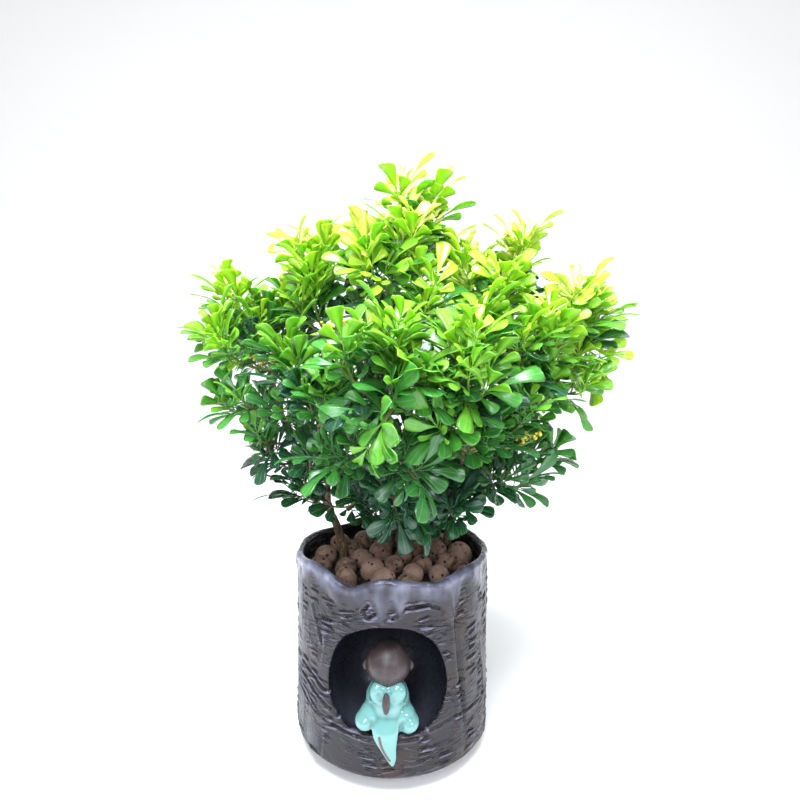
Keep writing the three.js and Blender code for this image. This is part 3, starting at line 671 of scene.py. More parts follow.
def celadon_glaze(body, line):
    """A thick pale green glaze, dipped and fired glossy: deeper where it pools.

    A line of iron is brushed down the robe's tail.
    """
    material, tree, skin, place = shader("glossy_celadon_glaze")
    pool, iron = [add(tree, "ShaderNodeAttribute", attribute_name=name).outputs["Fac"]
                  for name in ("pool", "iron")]
    flow = add(tree, "ShaderNodeTexNoise", {"Vector": place, "Scale": per_mm(14), "Detail": 2})
    depth = add(tree, "ShaderNodeMath", {0: flow, 1: 0.35, 2: pool}, operation="MULTIPLY_ADD")
    colour = add(tree, "ShaderNodeValToRGB", {"Fac": depth},
                 [(0.1, "#6b9f98"), (0.35, body), (0.95, "#2a5a55")])
    brushed = add(tree, "ShaderNodeMix", {"Factor": iron, "A": colour, "B": line}, data_type="RGBA")
    ripple = add(tree, "ShaderNodeTexNoise", {"Vector": place, "Scale": per_mm(6), "Detail": 1})
    bump = add(tree, "ShaderNodeBump", {"Height": ripple, "Strength": 0.25, "Distance": 0.5 * MM})
    feed(tree, skin, {"Base Color": brushed, "Normal": bump, "Roughness": 0.09,
                      "Coat Weight": 0.6, "Coat Roughness": 0.04})
    return material


def young_bark(body):
    """Thin bark of a young stem: olive tan, with corky lenticels and fine cracks along the wood."""
    material, tree, skin, place = shader("thin_olive_bark")
    drawn = add(tree, "ShaderNodeMapping", {"Vector": place, "Scale": (1, 1, 0.25)})
    streak = add(tree, "ShaderNodeTexNoise", {"Vector": drawn, "Scale": per_mm(1.8), "Detail": 5})
    colour = add(tree, "ShaderNodeValToRGB", {"Fac": streak},
                 [(0.3, "#35291b"), (0.52, body), (0.72, "#8a7a58")])
    corks = add(tree, "ShaderNodeTexVoronoi", {"Vector": place, "Scale": per_mm(3)})
    lenticel = add(tree, "ShaderNodeValToRGB", {"Fac": corks}, [(0.12, grey(0.55)), (0.2, grey(0))])
    spotted = add(tree, "ShaderNodeMix", {"Factor": 0.5, "A": colour, "B": lenticel},
                  data_type="RGBA", blend_type="ADD")
    bump = add(tree, "ShaderNodeBump", {"Height": streak, "Strength": 0.8, "Distance": 0.5 * MM})
    feed(tree, skin, {"Base Color": spotted, "Normal": bump, "Roughness": 0.72})
    return material


def green_twig(body):
    """This year's shoot: smooth green skin, browner towards its root, with the crown's painted
    light and shade in its age value.
    """
    material, tree, skin, place = shader("smooth_green_twig")
    twig_age_and_light = add(tree, "ShaderNodeAttribute", attribute_name="age").outputs["Fac"]
    tone = add(tree, "ShaderNodeTexNoise", {"Vector": place, "Scale": per_mm(4), "Detail": 2})
    shift = add(tree, "ShaderNodeMath", {0: tone, 1: 0.4, 2: twig_age_and_light}, operation="MULTIPLY_ADD")
    colour = add(tree, "ShaderNodeValToRGB", {"Fac": shift},
                 [(0.2, body), (0.7, "#6f7c34"), (1.0, "#71603a")])
    feed(tree, skin, {"Base Color": colour, "Roughness": 0.5})
    return material


def waxy_leaf(young, grown, old):
    """A leathery leaflet with a waxed skin: lime when new, deep green when old, lighter where its
    age value holds painted light and darker where it holds painted shade.

    Its midrib is a pale line, and its side veins are faint.
    """
    material, tree, skin, place = shader("waxy_leaflet")
    age = add(tree, "ShaderNodeAttribute", attribute_name="age").outputs["Fac"]
    mottle = add(tree, "ShaderNodeTexNoise", {"Vector": place, "Scale": per_mm(9), "Detail": 3})
    leaf_age_and_light = add(tree, "ShaderNodeMath", {0: mottle, 1: 0.22, 2: age}, operation="MULTIPLY_ADD")
    # The palest stops fall where painted light meets new leaves at the crown's top, the darkest
    # where painted shade meets old leaves
    colour = add(tree, "ShaderNodeValToRGB", {"Fac": leaf_age_and_light}, [
        (0.1, "#efe88c"), (0.2, "#b9dc32"), (0.36, young), (0.6, grown), (0.88, old)])

    vein_map = add(tree, "ShaderNodeUVMap", uv_map="leaf")
    split = add(tree, "ShaderNodeSeparateXYZ", {"Vector": vein_map}).outputs
    across = add(tree, "ShaderNodeMath", {0: split["Y"], 1: 0.5}, operation="SUBTRACT")
    off_rib = add(tree, "ShaderNodeMath", {0: across}, operation="ABSOLUTE")
    slant = add(tree, "ShaderNodeMath", {0: off_rib, 1: -0.7, 2: split["X"]},
                operation="MULTIPLY_ADD")
    pairs = add(tree, "ShaderNodeMath", {0: slant, 1: 44.0}, operation="MULTIPLY")
    wave = add(tree, "ShaderNodeMath", {0: pairs}, operation="SINE")
    side_veins = add(tree, "ShaderNodeMapRange",
                     {"Value": wave, "From Min": 0.8, "From Max": 1.0, "To Max": 0.12})
    midrib = add(tree, "ShaderNodeMapRange", {"Value": off_rib, "From Min": 0.02, "From Max": 0.06,
                                              "To Min": 0.22, "To Max": 0.0})
    veins = add(tree, "ShaderNodeMath", {0: side_veins, 1: midrib}, operation="MAXIMUM")

    paler = add(tree, "ShaderNodeMix", {"Factor": 0.35, "A": colour, "B": linear("#cfe38a")},
                data_type="RGBA")
    ribbed = add(tree, "ShaderNodeMix", {"Factor": veins, "A": colour, "B": paler},
                 data_type="RGBA")
    bump = add(tree, "ShaderNodeBump", {"Height": veins, "Strength": 0.4, "Distance": 0.25 * MM},
               invert=True)
    feed(tree, skin, {"Base Color": ribbed, "Roughness": 0.24, "Normal": bump,
                      "Subsurface Weight": 0.25, "Subsurface Radius": (0.6, 1.0, 0.15),
                      "Subsurface Scale": 2.0 * MM})
    return material


def flower_ball(body):
    """Unopened flowers: tight yellow balls with a grainy matt skin."""
    material, tree, skin, place = shader("matt_yellow_bud")
    grain = add(tree, "ShaderNodeTexNoise", {"Vector": place, "Scale": per_mm(1.2), "Detail": 3})
    colour = add(tree, "ShaderNodeValToRGB", {"Fac": grain},
                 [(0.3, "#b99a1c"), (0.55, body), (0.8, "#f4e36a")])
    bump = add(tree, "ShaderNodeBump", {"Height": grain, "Strength": 0.5, "Distance": 0.2 * MM})
    feed(tree, skin, {"Base Color": colour, "Normal": bump, "Roughness": 0.55})
    return material


def white_paper():
    """Background paper, pressed and uncoated: matt and white."""
    material, tree, skin, _ = shader("matt_white_paper")
    feed(tree, skin, {"Base Color": linear("#f4f4f2"), "Roughness": 0.9,
                      "Emission Color": linear("#ffffff"), "Emission Strength": 0.15})
    return material


# Pot

def rim_height(azimuth):
    """Height of the wavy rim"""
    return POT_HEIGHT + sum(rise * bell(turn_from(azimuth, centre), width)
                            for centre, rise, width in RIM_WAVES)


def from_split(azimuth, height):
    """Degrees from the upright split on the right of the niche"""
    return turn_from(azimuth, SPLIT_TOP[0] + (SPLIT_TOP[1] - height) * SPLIT_SLANT)


def wave_relief(azimuth, height):
    """The wall's slow waves, with a split down the right of the niche and a ledge on the left"""
    waves = (0.5 * np.sin(np.radians(7 * azimuth + height))
             + 0.4 * np.sin(np.radians(13 * azimuth - 2 * height)))
    away = from_split(azimuth, height)
    split = bell(height - 90, 55) * (2 * bell(away + 3.5, 2.6) - 2.6 * bell(away, 1.4))
    over_ledge = height - LEDGE_CENTRE[1] + (azimuth + 30) * 0.55
    ledge = 1.4 * bell(turn_from(azimuth, LEDGE_CENTRE[0]), 22) * bell(over_ledge, 9)
    return waves + split + ledge


def carved_strokes():
    """Short level cuts stacked in upright panels

    Each has its azimuth, height, half length, slant and depth.
    """
    draw = random.Random(11)
    strokes = []
    azimuth = -180.0
    while azimuth < 180:
        panel = draw.uniform(8, 13)
        shift = draw.uniform(0, 6)
        height = draw.uniform(5, 9)
        while height < POT_HEIGHT - 14:
            depth = draw.uniform(0.35, 1.0) * smooth(-0.6, 0.2, math.sin(height / 14 + shift))
            if depth > 0.15:
                strokes.append((azimuth + panel * draw.uniform(0.35, 0.65), height,
                                panel * draw.uniform(0.28, 0.5), draw.uniform(-1.2, 1.8), depth))
            height += draw.uniform(4, 9.5)
        azimuth += panel
    return strokes


def along_groove(azimuth, height, line):
    """Distance from a groove's line over the wall, in millimetres"""
    per_degree = POT_RIM_RADIUS * math.pi / 180
    spot = np.stack([azimuth * per_degree, height], axis=-1)
    nearest = np.full(azimuth.shape, 1e3)
    for (a, b), (c, d) in zip(line, line[1:]):
        start, end = np.array([a * per_degree, b]), np.array([c * per_degree, d])
        share = np.clip((spot - start) @ (end - start) / np.sum((end - start) ** 2), 0, 1)
        away = spot - start - share[..., None] * (end - start)
        nearest = np.minimum(nearest, np.linalg.norm(away, axis=-1))
    return nearest


STROKES = carved_strokes()


def slip_share(azimuth, height):
    """How far the smooth slip covers the wall below the rim, from 0 to 1"""
    runs = sum(length * bell(turn_from(azimuth, centre), width) for centre, length, width in DRIPS)
    edge = rim_height(azimuth) - 8 - runs
    return smooth(edge - 9, edge + 4, height)


def carving(azimuth, height):
    """How far the carving raises the wall, or cuts it where below 0"""
    cut = np.zeros_like(azimuth)
    for centre, level, half, slant, depth in STROKES:
        near = (np.abs(height - level) < 8) & (np.abs(turn_from(azimuth, centre)) < half)
        along = turn_from(azimuth[near], centre) / half
        across = height[near] - level - slant * along
        fade = 1 - smooth(0.6, 1, np.abs(along))
        cut[near] += depth * fade * (1.3 * bell(across + 1.7, 1.0) - 1.5 * bell(across, 0.95))
    for number, line in enumerate(PANEL_GROOVES):
        sway = 2 * np.sin(height / 13 + number * 2.1)
        broken = smooth(-0.3, 0.5, np.sin(height / 17 + number * 1.3))
        from_line = turn_from(azimuth, line + sway)
        cut += broken * (0.45 * bell(from_line - 1.6, 1.0) - 0.8 * bell(from_line, 0.8))
    for line in GROOVES:
        away = along_groove(azimuth, height, line)
        cut += 0.65 * bell(away - 2.4, 1.2) - 1.35 * bell(away, 0.95)
    draw = random.Random(5)
    for _ in range(KNOT_DENTS):
        dent_azimuth, dent_height = [centre + draw.gauss(0, spread)
                                     for centre, spread in zip(KNOT_CENTRE, KNOT_SPREAD)]
        away = np.hypot(turn_from(azimuth, dent_azimuth) * 1.5, height - dent_height)
        cut += 0.9 * bell(away, 0.9)
    aside = POT_FOOT_RADIUS * np.sin(np.radians(azimuth)) - MOUTH_CENTRE[0]
    mouth = np.hypot(aside / MOUTH_HALF_SIZE[0], (height - MOUTH_CENTRE[1]) / MOUTH_HALF_SIZE[1])
    front = smooth(60, 75, np.abs(azimuth))
    clear = np.maximum(front, smooth(1.0, 1.14, mouth))
    return cut * clear * (1 - 0.9 * slip_share(azimuth, height))


def wall_point(azimuth, height):
    """Points on the carved outer wall, under its slip"""
    radius = lerp(POT_FOOT_RADIUS, POT_RIM_RADIUS, height / POT_HEIGHT)
    folds = (1.1 * np.sin(np.radians(17 * azimuth + 2 * height))
             + 0.7 * np.sin(np.radians(31 * azimuth)))
    slip = slip_share(azimuth, height) * (0.7 + folds * smooth(0, 10, rim_height(azimuth) - height))
    relief = wave_relief(azimuth, height) + carving(azimuth, height)
    return round_point(azimuth, radius + relief + slip, height)


def bore_point(azimuth, height):
    return round_point(azimuth, POT_BORE_RADIUS, height)


def hollow_reach(directions, grow, floor=None):
    """How far the hollow reaches from its centre, with a softly rounded corner at its floor"""
    upper = np.array([*NICHE_RADII[:2], NICHE_RISE])
    radii = np.where(directions[..., 2:] > 0, upper, NICHE_RADII) + grow
    egg = 1 / np.linalg.norm(directions / radii, axis=-1)
    if floor is None:
        return egg
    down = np.minimum(directions[..., 2], -1e-3)
    flat = (floor - NICHE_CENTRE[2]) / down
    nearer = np.logaddexp(-egg / FLOOR_CORNER, -np.minimum(flat, 400) / FLOOR_CORNER)
    return -FLOOR_CORNER * nearer


def niche_rings(border, point_at, reach, outer, inner):
    """Rings from a window's border to the hollow's mouth and on to its back, and the point there"""
    inside, outside = np.zeros(len(border)), np.ones(len(border))
    spread = border - WINDOW_MIDDLE
    for _ in range(24):
        trial = (inside + outside) / 2
        points = point_at(*(WINDOW_MIDDLE + spread * trial[:, None]).T) - NICHE_CENTRE
        hit = np.linalg.norm(points, axis=-1) < reach(unit(points))
        inside, outside = np.where(hit, trial, inside), np.where(hit, outside, trial)
    mouth = WINDOW_MIDDLE + spread * inside[:, None]
    shares = (np.arange(outer) + 1) / outer
    rings = [point_at(*(border + (mouth - border) * share ** 0.8).T) for share in shares]
    start = unit(rings[-1] - NICHE_CENTRE)
    back = np.array([0.0, 1.0, 0.0])
    angle = np.arccos(np.clip(start @ back, -1, 1))[:, None]
    for share in np.arange(1, inner) / inner:
        turned = np.sin((1 - share) * angle) * start + np.sin(share * angle) * back
        turned = turned / np.sin(angle)
        rings.append(NICHE_CENTRE + turned * reach(turned)[:, None])
    return np.array(rings), NICHE_CENTRE + back * reach(back[None])[0]


def round_lip(rings, at, spread):
    """Softens the edge where the wall turns into the hollow"""
    rings = rings.copy()
    weight = bell(np.arange(len(rings)) - at, spread)[1:-1, None, None]
    for _ in range(14):
        rings[1:-1] += 0.5 * weight * ((rings[:-2] + rings[2:]) / 2 - rings[1:-1])
    return rings


def pot_rings(azimuth):
    """The pot's closed section as rings: foot, wall, lip, bore, floor, drain and underside"""
    rim = rim_height(azimuth)
    rings = [round_point(azimuth, radius, height) for radius, height in FOOT_PROFILE]
    wall_top = rim - LIP_HEIGHT
    for share in np.linspace(0, 1, WALL_ROWS):
        rings.append(wall_point(azimuth, lerp(WALL_FOOT, wall_top, share)))
    edge = np.linalg.norm(rings[-1][:, :2], axis=-1)
    for angle in np.radians(np.linspace(15, 180, LIP_ROWS)):
        radius = lerp(POT_BORE_RADIUS, edge, (1 + math.cos(angle)) / 2)
        rings.append(round_point(azimuth, radius, wall_top + LIP_HEIGHT * math.sin(angle)))
    for share in np.linspace(0, 1, BORE_ROWS)[1:]:
        rings.append(bore_point(azimuth, lerp(wall_top, POT_FLOOR + FLOOR_FILLET, share)))
    floor = round_point(azimuth, POT_BORE_RADIUS - FLOOR_FILLET, POT_FLOOR)
    drain = round_point(azimuth, DRAIN_RADIUS, 0) + np.array([*DRAIN_CENTRE, 0])
    drain_top = drain + np.array([0, 0, POT_FLOOR])
    rings += [floor, lerp(floor, drain_top, 0.5), drain_top, drain, lerp(drain, rings[0], 0.5)]
    return np.array(rings)


def build_pot():
    """The pot as one skin, with a window in its wall and one in its bore for the niche's lining"""
    columns = -180 + 360 * np.arange(POT_COLUMNS) / POT_COLUMNS
    rings = pot_rings(columns)
    count = len(rings)
    at = np.arange(count * POT_COLUMNS).reshape(count, POT_COLUMNS)
    skin_faces = np.array(quads(np.vstack([at, at[:1]]))).reshape(count, POT_COLUMNS, 4)
    keep = np.ones((count, POT_COLUMNS), dtype=bool)
    shape = Shape()
    first_wall = len(FOOT_PROFILE)
    first_bore = first_wall + WALL_ROWS + LIP_ROWS - 1
    low_row, high_row = [first_wall + int(share * WALL_ROWS) for share in WINDOW_ROWS]
    windows = [  # rows, columns, surface, hollow, and rings outside and inside the mouth
        (low_row, high_row, WINDOW_SPAN, wall_point,
         lambda way: hollow_reach(way, 0, NICHE_FLOOR), 14, 34),
        (first_bore + 1, first_bore + BORE_ROWS - 1, LINING_SPAN, bore_point,
         lambda way: hollow_reach(way, NICHE_WALL), 3, 12),
    ]
    patches = []
    for low, high, span, point_at, reach, outer, inner in windows:
        left, right = np.searchsorted(columns, span)
        keep[low:high, left:right] = False
        border = ([(low, c) for c in range(left, right)] + [(r, right) for r in range(low, high)]
                  + [(high, c) for c in range(right, left, -1)]
                  + [(r, left) for r in range(high, low, -1)])
        index = np.array([at[spot] for spot in border])
        places = rings[tuple(np.array(border).T)]
        polar = np.stack([columns[[c for _, c in border]], places[:, 2]], axis=-1)
        skin, back = niche_rings(polar, point_at, reach, outer, inner)
        if point_at is wall_point:
            skin = round_lip(np.concatenate([places[None], skin]), outer, 1.6)[1:]
        patches.append((index, skin, back, outer, point_at is wall_point))
    rise, slip = finish_values(rings.reshape(-1, 3))
    shape.add(rings.reshape(-1, 3), skin_faces[keep].tolist(), rise=rise, slip=slip)
    for index, skin, back, outer, front in patches:
        own = shape.count + np.arange(skin.shape[0] * len(index)).reshape(skin.shape[:2])
        pole = shape.count + own.size
        faces = quads(np.vstack([index[None], own]))
        faces += [(a, b, pole) for a, b in zip(own[-1], np.roll(own[-1], -1))]
        # How far each point lies inside the niche, where the finish paints shade
        depth = smooth(0.5, 4.5, np.arange(len(skin)) - outer + 1.5)
        inside = np.append(np.repeat(depth, len(index)), 1.0) * front
        points = np.vstack([skin.reshape(-1, 3), back])
        rise, slip = (values * (1 - inside) for values in finish_values(points))
        shape.add(points, [[c - shape.count for c in face] for face in faces],
                  inside=inside, rise=rise, slip=slip)
    return shape


def finish_values(points):
    """How far each point stands out of the carving, plus painted shade and a painted highlight at
    the split, and how much slip covers it, plus a painted highlight along the lip
    """
    azimuth, height = np.degrees(np.arctan2(points[:, 0], -points[:, 1])), points[:, 2]
    outer = np.linalg.norm(points[:, :2], axis=-1) > POT_BORE_RADIUS + 2
    # Along the lip the slip is laid on thicker as a painted highlight
    slip = slip_share(azimuth, height) + 1.5 * bell(rim_height(azimuth) - height - 3, 4)
    away = from_split(azimuth, height)
    # A painted dark line down the split, with a painted highlight beside it
    split = bell(height - 76, 42) * (0.3 * bell(away + 3.4, 1.2) - 3 * bell(away, 1.5))
    return np.where(outer, carving(azimuth, height) + split, 0.0), np.where(outer, slip, 0.0)


# Filling

def stem_feet():
    """Where the stems leave the soil, seen from above"""
    return [np.array(stem["joints"][1][:2], dtype=float) for stem in STEMS.values()]


def clay_ball(name, seed):
    """A lumpy ball of radius 1 mm"""
    draw = np.random.default_rng(seed)
    points, faces = ellipsoid((0, 0, 0), (1, 1, 1), sides=24, rows=15)
    ways = unit(draw.normal(size=(9, 3)))
    waves = points @ ways.T * draw.uniform(1.5, 3.4, 9) + draw.uniform(0, 6, 9)
    lumps = np.sum(np.cos(waves), axis=1)
    stretch = draw.uniform(0.86, 1.1, 3)
    shape = Shape()
    shape.add(points * (1 + 0.014 * lumps[:, None]) * stretch, faces)
    return as_object(name, shape)


def settled(spot, radius, clearance):
    """A ball's place, moved off the stems' feet and then inside the pot's wall"""
    for foot in stem_feet():
        away = spot - foot
        spot = spot + unit(away) * max(0, radius + clearance - np.linalg.norm(away))
    return spot * min(1, (POT_BORE_RADIUS - 1 - radius) / np.linalg.norm(spot))


def ball_places(count):
    """Centre and radius of each clay ball: a sunflower's order, and smaller ones in its gaps"""
    places = []
    for ball in range(count):
        places.append((ball * GOLDEN_TURN, BALL_SPREAD * math.sqrt((ball + 0.5) / count),
                       BALL_HEIGHT + 3 * (vary(ball * 3) - 0.5), lerp(*BALL_RADIUS, vary(ball))))
    for gap in range(count):
        places.append(((gap + 0.5) * GOLDEN_TURN + 66,
                       (BALL_SPREAD + 1) * math.sqrt((gap + 0.9) / count),
                       GAP_BALL_HEIGHT + 2 * vary(gap * 5), GAP_BALL_RADIUS + 1.6 * vary(gap * 7)))
    moved = []
    for turn, reach, height, radius in places:
        angle = math.radians(turn)
        spot = np.array([reach * math.cos(angle), reach * math.sin(angle)])
        moved.append(np.array([*settled(spot, radius, FIRST_CLEARANCE), height, radius]))
    for _ in range(SETTLING_ROUNDS):
        for number, ball in enumerate(moved):
            for other in moved[:count] if number < count else moved:
                away = ball[:2] - other[:2]
                short = 0.96 * (ball[3] + other[3]) - np.linalg.norm(ball[:3] - other[:3])
                if other is not ball and short > 0:
                    ball[:2] += unit(away) * short * 0.6
            ball[:2] = settled(ball[:2], ball[3], STEM_CLEARANCE)
    kept = moved[:count]
    for ball in moved[count:]:
        room = min(np.linalg.norm(ball[:3] - other[:3]) - other[3] for other in kept)
        ball[3] = min(ball[3], 0.95 * room)
        if ball[3] > LEAST_GAP_BALL:
            kept.append(ball)
    return kept


def build_litter():
    """The damp soil that shows between the clay balls, as a crumbly disc"""
    draw = np.random.default_rng(3)
    turn = np.linspace(-180, 180, LITTER_COLUMNS, endpoint=False)
    rings = [round_point(turn, LITTER_RADIUS, LITTER_EDGE)]
    for reach in np.linspace(LITTER_RADIUS, 2, 34):
        crumbs = CRUMB_TOP + draw.uniform(-1.6, 1.6, LITTER_COLUMNS)
        rings.append(round_point(turn, reach, crumbs))
    shape = Shape()
    shape.add(*loft(rings, (0, 0, LITTER_EDGE), (0, 0, CRUMB_TOP)))
    return shape


# What a layout's points hold: a mark on tips, and what the geometry tree and the finishes read
LAYOUT_VALUES = [("tip", "FLOAT"), ("kind", "INT"), ("turn", "FLOAT_VECTOR"), ("size", "FLOAT"),
                 ("girth", "FLOAT"), ("age", "FLOAT"), ("tone", "FLOAT")]


def scatter_tree():
    """A geometry tree that sets bodies on points and grows round rods along edges.

    Points marked "tip" take a body by their "kind", "turn" and "size". Edges take their "girth".
    """
    tree = bpy.data.node_groups.new("rods_and_tips", "GeometryNodeTree")
    sockets = [("Geometry", "Geometry"), ("Tips", "Collection"), ("Tip scale", "Float"),
               ("Rod sides", "Int"), ("Tip finish", "Material"), ("Rod finish", "Material")]
    for name, kind in sockets:
        tree.interface.new_socket(name, in_out="INPUT", socket_type=f"NodeSocket{kind}")
    tree.interface.new_socket("Geometry", in_out="OUTPUT", socket_type="NodeSocketGeometry")
    given = add(tree, "NodeGroupInput").outputs
    mark, kind, turn, size, girth = [
        add(tree, "GeometryNodeInputNamedAttribute", {"Name": name}, data_type=data)
        for name, data in LAYOUT_VALUES[:5]]
    parts = add(tree, "GeometryNodeSeparateGeometry",
                {"Geometry": given["Geometry"], "Selection": mark})
    bodies = add(tree, "GeometryNodeCollectionInfo", {
        "Collection": given["Tips"], "Separate Children": True, "Reset Children": True})
    spin = add(tree, "FunctionNodeEulerToRotation", {"Euler": turn})
    grown = add(tree, "ShaderNodeMath", {0: size, 1: given["Tip scale"]}, operation="MULTIPLY")
    set_out = add(tree, "GeometryNodeInstanceOnPoints", {
        "Points": parts, "Instance": bodies, "Pick Instance": True, "Instance Index": kind,
        "Rotation": spin, "Scale": grown})
    real = add(tree, "GeometryNodeRealizeInstances", {"Geometry": set_out})
    tips = add(tree, "GeometryNodeSetMaterial",
               {"Geometry": real, "Material": given["Tip finish"]})
    lines = add(tree, "GeometryNodeMeshToCurve", {"Mesh": parts.outputs["Inverted"]})
    section = add(tree, "GeometryNodeCurvePrimitiveCircle",
                  {"Resolution": given["Rod sides"], "Radius": 1.0})
    rods = add(tree, "GeometryNodeCurveToMesh", {
        "Curve": lines, "Profile Curve": section, "Scale": girth, "Fill Caps": True})
    wood = add(tree, "GeometryNodeSetMaterial",
               {"Geometry": rods, "Material": given["Rod finish"]})
    both = add(tree, "GeometryNodeJoinGeometry", {"Geometry": tips})
    feed(tree, both, {"Geometry": wood})
    add(tree, "NodeGroupOutput", {"Geometry": both})
    return tree


class Layout:
    """Marked points and edges for the geometry tree"""

    def __init__(self):
        self.points = []
        self.edges = []
        self.rows = []

    def tip(self, point, kind=0, turn=(0, 0, 0), size=1.0, age=0.0, tone=0.0):
        """A body of a kind, turned and as many times its size"""
        self.points.append(tuple(point))
        self.rows.append((1.0, kind, tuple(turn), size, 0.0, age, tone))

    def rod(self, path, girths, age):
        """A rod from its first girth to its last, with one age or one for each point"""
        start = len(self.points)
        ages = np.broadcast_to(age, len(path))
        for point, girth, point_age in zip(path, np.linspace(*girths, len(path)), ages):
            self.points.append(tuple(point))
            self.rows.append((0.0, 0, (0, 0, 0), 0.0, girth * MM, point_age, 0.0))
        self.edges.extend((start + step, start + step + 1) for step in range(len(path) - 1))

    def mesh(self, name):
        mesh = bpy.data.meshes.new(name)
        mesh.from_pydata([[c * MM for c in point] for point in self.points], self.edges, [])
        for (key, data), column in zip(LAYOUT_VALUES, zip(*self.rows)):
            place = mesh.attributes.new(key, data, "POINT").data
            place.foreach_set("vector" if key == "turn" else "value", np.array(column).ravel())
        return mesh


def grow(name, layout, tips, tip_finish, rod_finish=None, rod_sides=8):
    """Makes one plain mesh object of a layout"""
    piece = as_object(name, layout)
    run_tree(piece, bpy.data.node_groups["rods_and_tips"], {
        "Tips": tips, "Tip scale": 1.0, "Rod sides": rod_sides, "Tip finish": tip_finish,
        "Rod finish": rod_finish or tip_finish})
    piece.data.shade_smooth()
    return piece


def collect(name, bodies):
    """A collection that isn't in the scene, for bodies that are only copied"""
    group = bpy.data.collections.new(name)
    for body in bodies:
        group.objects.link(body)
    return group


def discard(group):
    """Removes a collection of bodies once they are copied"""
    for body in list(group.objects):
        bpy.data.meshes.remove(body.data)
    bpy.data.collections.remove(group)


# Figure

def hollows(mesh):
    """How hollow, or proud where below 0, each point of a mesh lies among its neighbours, in mm"""
    points, normals = point_array(mesh), np.empty(len(mesh.vertices) * 3)
    mesh.vertices.foreach_get("normal", normals)
    ends = np.empty(len(mesh.edges) * 2, dtype=int)
    mesh.edges.foreach_get("vertices", ends)
    ends = ends.reshape(-1, 2)
    level = np.sum((neighbour_mean(points, ends) - points) * normals.reshape(-1, 3), axis=1)
    for _ in range(4):
        level = neighbour_mean(level[:, None], ends)[:, 0]
    return level


def neighbour_mean(values, ends):
    """The mean of each point's neighbours, over edges given by their two ends"""
    total, number = np.zeros_like(values), np.zeros((len(values), 1))
    for near, far in (ends.T, ends.T[::-1]):
        np.add.at(total, near, values[far])
        np.add.at(number, near, 1)
    return total / np.maximum(number, 1)


def arc_distance(spot, centre, radius, start, end):
    """Distance from points on a face plane to an arc drawn on it"""
    away = spot - np.array(centre)
    angle = np.degrees(np.arctan2(away[..., 1], away[..., 0]))
    held = np.radians(np.clip((angle + 90) % 360 - 90, start, end))
    nearest = np.stack([np.cos(held), np.sin(held)], axis=-1) * radius
    return np.linalg.norm(away - nearest, axis=-1)


def build_head():
    """A bowed egg of a head: small ears, closed eyes, a small nose and three dots on the brow"""
    shape = Shape()
    shape.add(*ellipsoid(HEAD_CENTRE, HEAD_RADII, 48, 32, -HEAD_TILT, 0.3))
    for side in (-1, 1):
        ear = HEAD_CENTRE + np.array([side * 17.6, 1.5, -1.5])
        shape.add(*ellipsoid(ear, (3.2, 2.4, 4.6), 20, 14))
    piece = fused("monk_head", shape, HEAD_GRAIN, 6)
    points = point_array(piece.data)
    own = (points - HEAD_CENTRE) @ np.array(Matrix.Rotation(math.radians(HEAD_TILT), 3, "X"))
    front = smooth(0, -6, own[:, 1])
    face = np.stack([own[:, 0], own[:, 2]], axis=-1)
    rise = np.zeros(len(points))
    for side in (-1, 1):
        eye = arc_distance(face, (side * EYE_ASIDE, -2.2), 3.0, 200, 340)
        rise += -0.5 * bell(eye, 0.5)
        lid = np.linalg.norm(face - [side * EYE_ASIDE, -3.8], axis=-1)
        rise += 0.35 * bell(lid, 3)
        brow = arc_distance(face, (side * 5.6, -1.2), 4.6, 40, 140)
        rise += 0.25 * bell(brow, 1.0)
    nose = bell(face[:, 0], 1.5) * bell(face[:, 1] + 6.6, 2.4)
    rise += 0.95 * nose
    lips = arc_distance(face, (0, -8.4), 3.2, 240, 300)
    rise += -0.4 * bell(lips, 0.5)
    for place in (-1, 0, 1):
        dot = np.linalg.norm(face - [place * 5.4, 7.5], axis=-1)
        rise += 0.55 * bell(dot, 0.85)
    move_points(piece, points + unit(points - HEAD_CENTRE) * (rise * front)[:, None])
    return piece


def build_hands():
    """Two palms pressed together, with a crease where they meet"""
    points, faces = ellipsoid(HANDS_CENTRE, HANDS_RADII, 32, 28, -12)
    crease = bell(points[:, 0] - HANDS_CENTRE[0] - 0.3, 0.45)
    front = smooth(HANDS_CENTRE[1] + 1, HANDS_CENTRE[1] - 1.5, points[:, 1])
    points[:, 1] += 0.5 * crease * front
    shape = Shape()
    shape.add(points, faces)
    return shape


def ovals(centres, widths, depths, across, outs):
    """Rings round a line of centres, as wide along across and as deep along out as given"""
    turn = np.radians(np.arange(ROBE_SIDES) / ROBE_SIDES * 360)
    return [centre + np.outer(width * np.cos(turn), across) + np.outer(depth * np.sin(turn), out)
            for centre, width, depth, out in zip(centres, widths, depths, outs)]


